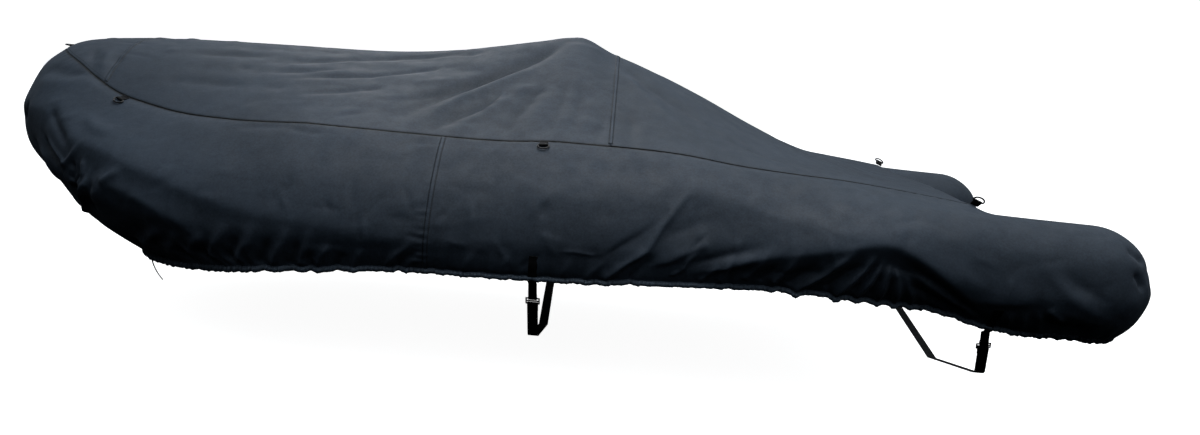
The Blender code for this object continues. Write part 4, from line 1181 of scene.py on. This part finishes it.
# ---- materials
class Nodes:
    """Short helpers that add shader nodes to one tree."""

    def __init__(self, tree):
        self.tree = tree

    def add(self, kind, inputs=(), output=0, **settings):
        """A node with its settings, and its inputs as numbers or as the sockets that feed them."""
        node = self.tree.nodes.new("ShaderNode" + kind)
        for key, value in settings.items():
            setattr(node, key, value)
        for key, value in inputs:
            if isinstance(value, bpy.types.NodeSocket):
                self.tree.links.new(value, node.inputs[key])
            elif value is not None:
                node.inputs[key].default_value = value
        return node.outputs[output]

    def math(self, operation, a, b=None, clamp=False):
        return self.add("Math", ((0, a), (1, b)), operation=operation, use_clamp=clamp)

    def ramp(self, value, low, high, out_low=0.0, out_high=1.0):
        inputs = (("Value", value), ("From Min", low), ("From Max", high), ("To Min", out_low), ("To Max", out_high))
        return self.add("MapRange", inputs, "Result")

    def noise(self, vector, scale, detail=2.0, stretch=None):
        if stretch is not None:
            vector = self.add("Mapping", (("Vector", vector), ("Scale", stretch)), "Vector")
        return self.add("TexNoise", (("Vector", vector), ("Scale", scale), ("Detail", detail)), "Fac")

    def uneven(self, vector, scale, detail, low, high, stretch=None):
        """Noise spread evenly between two values."""
        return self.ramp(self.noise(vector, scale, detail, stretch), 0.3, 0.7, low, high)

    def wave(self, vector, direction, scale):
        return self.add("TexWave", (("Vector", vector), ("Scale", scale)), "Fac", bands_direction=direction)

    def bump(self, height, distance, strength, before=None):
        inputs = (("Height", height), ("Distance", distance), ("Strength", strength), ("Normal", before))
        return self.add("Bump", inputs, "Normal")

    def tint(self, factor, dark, light):
        return self.add("Mix", ((0, factor), (6, dark), (7, light)), 2, data_type="RGBA")


class Look(Nodes):
    """A material: its nodes, its shader, and the two coordinates that they read."""

    def __init__(self, name, colour):
        self.material = bpy.data.materials.new(name)
        self.material.use_nodes = True
        super().__init__(self.material.node_tree)
        self.shader = self.tree.nodes["Principled BSDF"]
        self.set("Base Color", (*colour, 1.0))

    def set(self, name, value):
        socket = self.shader.inputs[name]
        if isinstance(value, bpy.types.NodeSocket):
            self.tree.links.new(value, socket)
        else:
            socket.default_value = value

    def space(self):
        return self.add("TexCoord", output="Object")

    def place(self):
        return self.add("UVMap", output="UV", uv_map="cloth")


# Nearly black, painted where the painted shading is low: the shade in the seams and beside them.
SEAM_SHADE_COLOUR = (0.0015, 0.0020, 0.0028, 1.0)
WEAVE = 190.0


def cloth_material(name, dark, light, puckered):
    """Coated polyester cloth: a fine plain weave, soft packing creases, a slightly uneven dye, and painted shading:
    nearly black in seams, darker in fold valleys and hem hollows, lighter on fold crests.
    """
    n = Look(name, light)
    place, space = n.place(), n.space()
    tone = n.add("Attribute", output="Fac", attribute_name="tone")
    blend = n.ramp(n.noise(space, 3.2, 4.0), 0.30, 0.70, 0.38, 0.58)
    blend = n.math("ADD", blend, n.uneven(space, 34.0, 3.0, -0.06, 0.06))
    blend = n.math("ADD", blend, n.uneven(space, 150.0, 3.0, -0.13, 0.13))
    blend = n.math("ADD", blend, n.uneven(place, 900.0, 1.0, -0.10, 0.10, (1.0, 0.35, 1.0)))
    # Painted shading from the mesh: darker in fold valleys and seams, lighter on fold crests and ruffles.
    blend = n.math("ADD", blend, n.ramp(tone, 0.45, 1.15, -0.75, 0.12), clamp=True)
    dyed_and_shaded = n.tint(blend, (*dark, 1.0), (*light, 1.0))
    # Painted shade: where the painted shading is low, in the seams, the colour goes nearly black.
    n.set("Base Color", n.tint(n.ramp(tone, 0.25, 0.75), SEAM_SHADE_COLOUR, dyed_and_shaded))
    n.set("Roughness", n.uneven(space, 18.0, 3.0, 0.56, 0.70))
    n.set("Specular IOR Level", 0.28)
    n.set("Sheen Weight", 0.06)
    n.set("Sheen Roughness", 0.45)
    n.set("Sheen Tint", (0.75, 0.85, 1.0, 1.0))
    normal = n.bump(n.noise(place, 7.0, 3.0, (1.0, 1.6, 1.0)), 0.010, 0.22)
    normal = n.bump(n.noise(place, 26.0, 3.0, (1.0, 0.7, 1.0)), 0.0035, 0.26, normal)
    folded = n.math("ABSOLUTE", n.math("SUBTRACT", n.noise(place, 5.0, 3.0, (1.0, 1.5, 1.0)), 0.5))
    normal = n.bump(n.ramp(folded, 0.0, 0.07), 0.0012, 0.16, normal)
    if puckered:
        above_edge = n.add("SeparateXYZ", ((0, place),), "Y")
        drawn = n.noise(place, 70.0, 1.0, (1.0, 0.13, 1.0))
        near = n.ramp(above_edge, 0.02, 0.12, 1.0, 0.0)
        normal = n.bump(n.math("MULTIPLY", drawn, near), 0.006, 0.5, normal)
    weave = n.math("MULTIPLY", n.wave(place, "X", WEAVE), n.wave(place, "Y", WEAVE))
    n.set("Normal", n.bump(weave, 0.00012, 0.35, normal))
    return n.material


def webbing_material(name, dark, light):
    """Woven polypropylene webbing: ribs across it, a herringbone along it, fuzz and a dull sheen."""
    n = Look(name, light)
    place, space = n.place(), n.space()
    ribs = n.math("MULTIPLY", n.wave(place, "X", WEAVE), n.wave(place, "Y", 130.0))
    blend = n.math("ADD", n.uneven(space, 60.0, 3.0, 0.15, 0.55), n.math("MULTIPLY", ribs, 0.35))
    n.set("Base Color", n.tint(blend, (*dark, 1.0), (*light, 1.0)))
    n.set("Roughness", n.uneven(space, 45.0, 2.0, 0.55, 0.72))
    n.set("Specular IOR Level", 0.12)
    n.set("Normal", n.bump(n.noise(place, 1400.0, 1.0), 0.0001, 0.4, n.bump(ribs, 0.0004, 0.6)))
    return n.material


def plain_material(name, dark, light, rough, grain, shine):
    """Moulded plastic or thread: a fine grain, and a colour and a roughness that vary a little."""
    n = Look(name, light)
    space = n.space()
    n.set("Base Color", n.tint(n.uneven(space, grain * 0.2, 4.0, 0.0, 1.0), (*dark, 1.0), (*light, 1.0)))
    n.set("Roughness", n.uneven(space, grain * 0.6, 3.0, rough - 0.07, rough + 0.07))
    n.set("Specular IOR Level", shine)
    n.set("Normal", n.bump(n.noise(space, grain, 3.0), 0.0001, 0.4))
    return n.material


MATERIALS = {
    "cloth": cloth_material("coated_cloth_look", (0.008, 0.0125, 0.019), (0.037, 0.055, 0.082), True),
    # The hem's cloth is a lighter copy of the cover's cloth: painted light, as the gathered hem catches more light
    # than the cloth above it.
    "hem": cloth_material("hem_cloth_look", (0.012, 0.018, 0.026), (0.078, 0.108, 0.150), False),
    "webbing": webbing_material("webbing_look", (0.002, 0.002, 0.0025), (0.009, 0.0095, 0.011)),
    "plastic": plain_material("ring_plastic_look", (0.004, 0.004, 0.0045), (0.010, 0.010, 0.011), 0.30, 400.0, 0.35),
    "thread": plain_material("thread_look", (0.0015, 0.002, 0.0025), (0.005, 0.006, 0.008), 0.6, 900.0, 0.08),
}

# ---- the sides and their hems
STRIPS = {}
for side in (PORT, STARBOARD):
    end = ROUNDED_ENDS[side]
    STRIPS[side] = Strip(side, (
        ("bow", between(90, 28, 0.36)[:-1]),
        ("bow", between(28, 0, 0.42)[:-1]),
        ("side", between(BOW_START, SIDE_SEAM, 0.0075)[:-1]),
        ("side", between(SIDE_SEAM, 0.15, 0.0068)[:-1]),
        ("side", between(0.15, TRANSOM, 0.0054)[:-1]),
        ("side", between(TRANSOM, end, 0.0085)),
        ("turn", between(0, 180, 2.4)[1:]),
        ("inner", between(end, TRANSOM, 0.02)[1:]),
    ))
SEAM_STATION = STRIPS[PORT].station("side", SIDE_SEAM)
BOW_JOIN = 5.0


def round_the_bow(name):
    """What the two strips hold up to the side seams, joined from port round the bow to starboard."""
    port, starboard = (getattr(STRIPS[side], name)[: SEAM_STATION + 1] for side in (PORT, STARBOARD))
    if name == "along":
        starboard = -BOW_JOIN - starboard
    if name == "uv":
        starboard = starboard * (-1, 1) - (BOW_JOIN, 0)
    return np.concatenate([port[::-1], starboard[1:]])


grid = round_the_bow("grid")
full = 0.6 + 0.6 * ease((abs(round_the_bow("along") + BOW_JOIN / 2) - 1.1) / 0.5)
cloth_panel("bow_band_cloth", "bow_band", [(grid, round_the_bow("uv"), round_the_bow("tone"), False)])
hem_band("bow_band_hem", "bow_band", grid, round_the_bow("normals"), round_the_bow("height"), 71, full)

for label, side in SIDES:
    node, strip = label + "_side", STRIPS[side]
    transom = strip.station("side", TRANSOM)
    patches = (strip.cut(SEAM_STATION, transom + 1), strip.cut(transom, None, CROWN_ROW))
    cloth_panel(node + "_cloth", node, [(*patch, side == PORT) for patch in patches])
    aft = slice(SEAM_STATION, None)
    full = np.where(strip.kinds[aft] == "side", 1.35 - 0.95 * ease((strip.where[aft] - TRANSOM) / 0.25), 0.4)
    hem_band(node + "_hem", node, strip.grid[aft], strip.normals[aft], strip.height[aft], 81 + int(side), full)
    rows = SIDE_SEAM + np.linspace(-0.009, 0.009, 7)
    felled_seam("side_seam_" + node, node, Strip(side, (("side", rows),)), 2, "sides")

# ---- the top and its seams
TRIM = 0.0006
SEAM_ROWS = np.linspace(-0.008, 0.008, 7)
cap = Top((("bow", between(90, BOW_SEAM_ANGLE, 0.7)),), (0, -TRIM))
fore_stations = (("bow", between(BOW_SEAM_ANGLE, 0, 0.6)[:-1]), ("side", between(BOW_START, MIDDLE_SEAM, 0.010)))
fore = Top(fore_stations, (TRIM, -TRIM))
aft = Top((("side", between(MIDDLE_SEAM, TRANSOM, 0.010)),), (TRIM, -0.001), 0.9975, flap=True)
for name, part in (("bow_cap", cap), ("fore_top", fore), ("aft_top", aft)):
    cloth_panel(name + "_cloth", name, [(part.grid, part.uv, part.tone, False)])

felled_seam("middle_seam", "aft_top", Top((("side", MIDDLE_SEAM + SEAM_ROWS),)), 3, "top")
seam_reach = LINES[0, 0]
bow_rows = seam_reach * math.sin(math.radians(BOW_SEAM_ANGLE)) - SEAM_ROWS
felled_seam("bow_seam", "bow_cap", Top((("bow", np.degrees(np.arcsin(bow_rows / seam_reach))),)), 3, "top")

# The seam allowance inside the long seam: how far it reaches on each side, how deep it lies at the join and
# beside it, and its thickness.
ALLOWANCE = 0.009
ALLOWANCE_DEPTH = 0.0018
ALLOWANCE_BESIDE = 0.0014
ALLOWANCE_CLOTH = 0.0008


def long_seam(label, side):
    """The seam allowance that closes the long seam from inside."""
    run = (("bow", between(90, 0, 0.9)[:-1]), ("side", between(BOW_START, TRANSOM - 0.004, 0.015)))
    below, over = Strip(side, run), Top(run)
    sections = []
    for i in range(len(below.grid)):
        inset = side * max(1 - ALLOWANCE / max(abs(over.grid[i, 0, 1]), 1e-6), 0.0)
        top_point, top_normal = (read(inset, TOP_COLUMNS, rows[i]) for rows in (over.grid, over.normals))
        low_point, low_normal = (read(ALLOWANCE, below.down[i], rows[i]) for rows in (below.grid, below.normals))
        middle_normal = unit(unit(top_normal) + unit(low_normal))
        join = (over.grid[i, 0 if side == PORT else -1] + below.grid[i, 0]) / 2
        outer = (top_point - unit(top_normal) * ALLOWANCE_BESIDE, join - middle_normal * ALLOWANCE_DEPTH,
                 low_point - unit(low_normal) * ALLOWANCE_BESIDE)
        sections.append(list(outer) + [p - middle_normal * ALLOWANCE_CLOTH for p in outer[::-1]])
    rings = np.array(sections)
    places = spread(below.along, 80 + np.arange(6) * ALLOWANCE)
    # Painted shade: the allowance is painted nearly black, as the shade inside the long seam.
    trim_piece(tube("long_seam_" + label, rings, "cloth", places, np.full(rings.shape[:2], 0.3)), "fore_top")


for label, side in SIDES:
    long_seam(label, side)

# the line of stitches beside the long seam on the bow cap, and round the flap
half = abs(cap.grid[:, 0, 1])
for side in (PORT, STARBOARD):
    shares = np.clip(1 - 0.013 / np.maximum(half, 0.02), 0, 1) * side
    line, out = (np.array([read(share, TOP_COLUMNS, row) for share, row in zip(shares, rows)])[half > 0.06]
                 for rows in (cap.grid, cap.normals))
    sew(line, out, "top")
sew(aft.grid[-3, 3:-3], aft.normals[-3, 3:-3], "top")

# ---- fittings and stitches
HEM_PLACES = np.array([(x, abs(lines("side", [x], PORT)[0, -1, 1])) for x in np.linspace(-0.4, 1.8, 45)])
for row in RING_PLACES:
    ring_and_tab(*row)
for row in STRAPS:
    belly_strap(*row)
bow_tie()
for group, slot in (("top", "coated_cloth"), ("sides", "coated_cloth"), ("webbing", "webbing")):
    stitching(group)

# ---- camera, light and floor
camera = bpy.data.objects.new("camera", bpy.data.cameras.new("camera"))
camera.data.lens = 30.0
camera.data.sensor_width = 36.0
camera.data.clip_end = 100.0
camera.matrix_world = Matrix((
    (0.995734704, -0.0922601968, -0.000674067, 0.1444),
    (0.0143078434, 0.161629293, -0.986747819, -4.1),
    (0.0911464969, 0.982529403, 0.162259940, -0.0484),
    (0, 0, 0, 1),
))
bpy.context.scene.collection.objects.link(camera)
bpy.context.scene.camera = camera
bpy.context.scene.view_settings.view_transform = "Standard"


def area_light(name, place, target, size, power):
    data = bpy.data.lights.new(name, "AREA")
    data.shape = "RECTANGLE"
    data.size, data.size_y = size
    data.energy = power
    lamp = bpy.data.objects.new(name, data)
    lamp.location = place
    lamp.rotation_euler = (Vector(target) - Vector(place)).to_track_quat("-Z", "Y").to_euler()
    bpy.context.scene.collection.objects.link(lamp)


area_light("overhead", (0.0, -0.7, 3.4), (0.0, -0.1, -0.6), (4.2, 3.0), 130)
area_light("behind", (-1.1, 2.6, 2.1), (-0.8, 0.0, -0.4), (2.4, 0.8), 32)

# The studio is bright above and dark below, and darker ahead of the bow.
world = bpy.data.worlds.new("studio")
bpy.context.scene.world = world
world.use_nodes = True
n = Nodes(world.node_tree)
background = world.node_tree.nodes["Background"]
axes = [n.add("SeparateXYZ", ((0, n.add("TexCoord", output="Generated")),), axis) for axis in "XZ"]
strength = n.math("MULTIPLY", n.ramp(axes[1], 0.22, 1.0, 0.0, 1.32), n.ramp(axes[0], -0.75, 0.25, 0.36, 1.0))
world.node_tree.links.new(strength, background.inputs["Strength"])
background.inputs["Color"].default_value = (0.88, 0.95, 1.0, 1.0)

FLOOR = -1.216
ROOM = 14
ROOM_HEIGHT = 16


def stage_plane(name, corners):
    mesh = bpy.data.meshes.new(name)
    mesh.from_pydata(corners, [], [tuple(range(len(corners)))])
    piece = bpy.data.objects.new(name, mesh)
    bpy.context.scene.collection.objects.link(piece)
    look = Look(name + "_look", (0.9, 0.9, 0.9))
    look.set("Roughness", 0.9)
    look.set("Emission Color", (1.0, 1.0, 1.0, 1.0))
    look.set("Emission Strength", 0.95)
    mesh.materials.append(look.material)
    piece.visible_diffuse = False
    piece.visible_glossy = False


stage_plane("floor", [(x * ROOM, y * ROOM, FLOOR) for x, y in ((-1, -1), (1, -1), (1, 1), (-1, 1))])
for name, x, y in (("north", 0, 1), ("south", 0, -1), ("east", 1, 0), ("west", -1, 0)):
    ends = ((-1, FLOOR), (1, FLOOR), (1, ROOM_HEIGHT), (-1, ROOM_HEIGHT))
    stage_plane("backdrop_" + name, [(ROOM * (x + y * s), ROOM * (y + x * s), z) for s, z in ends])
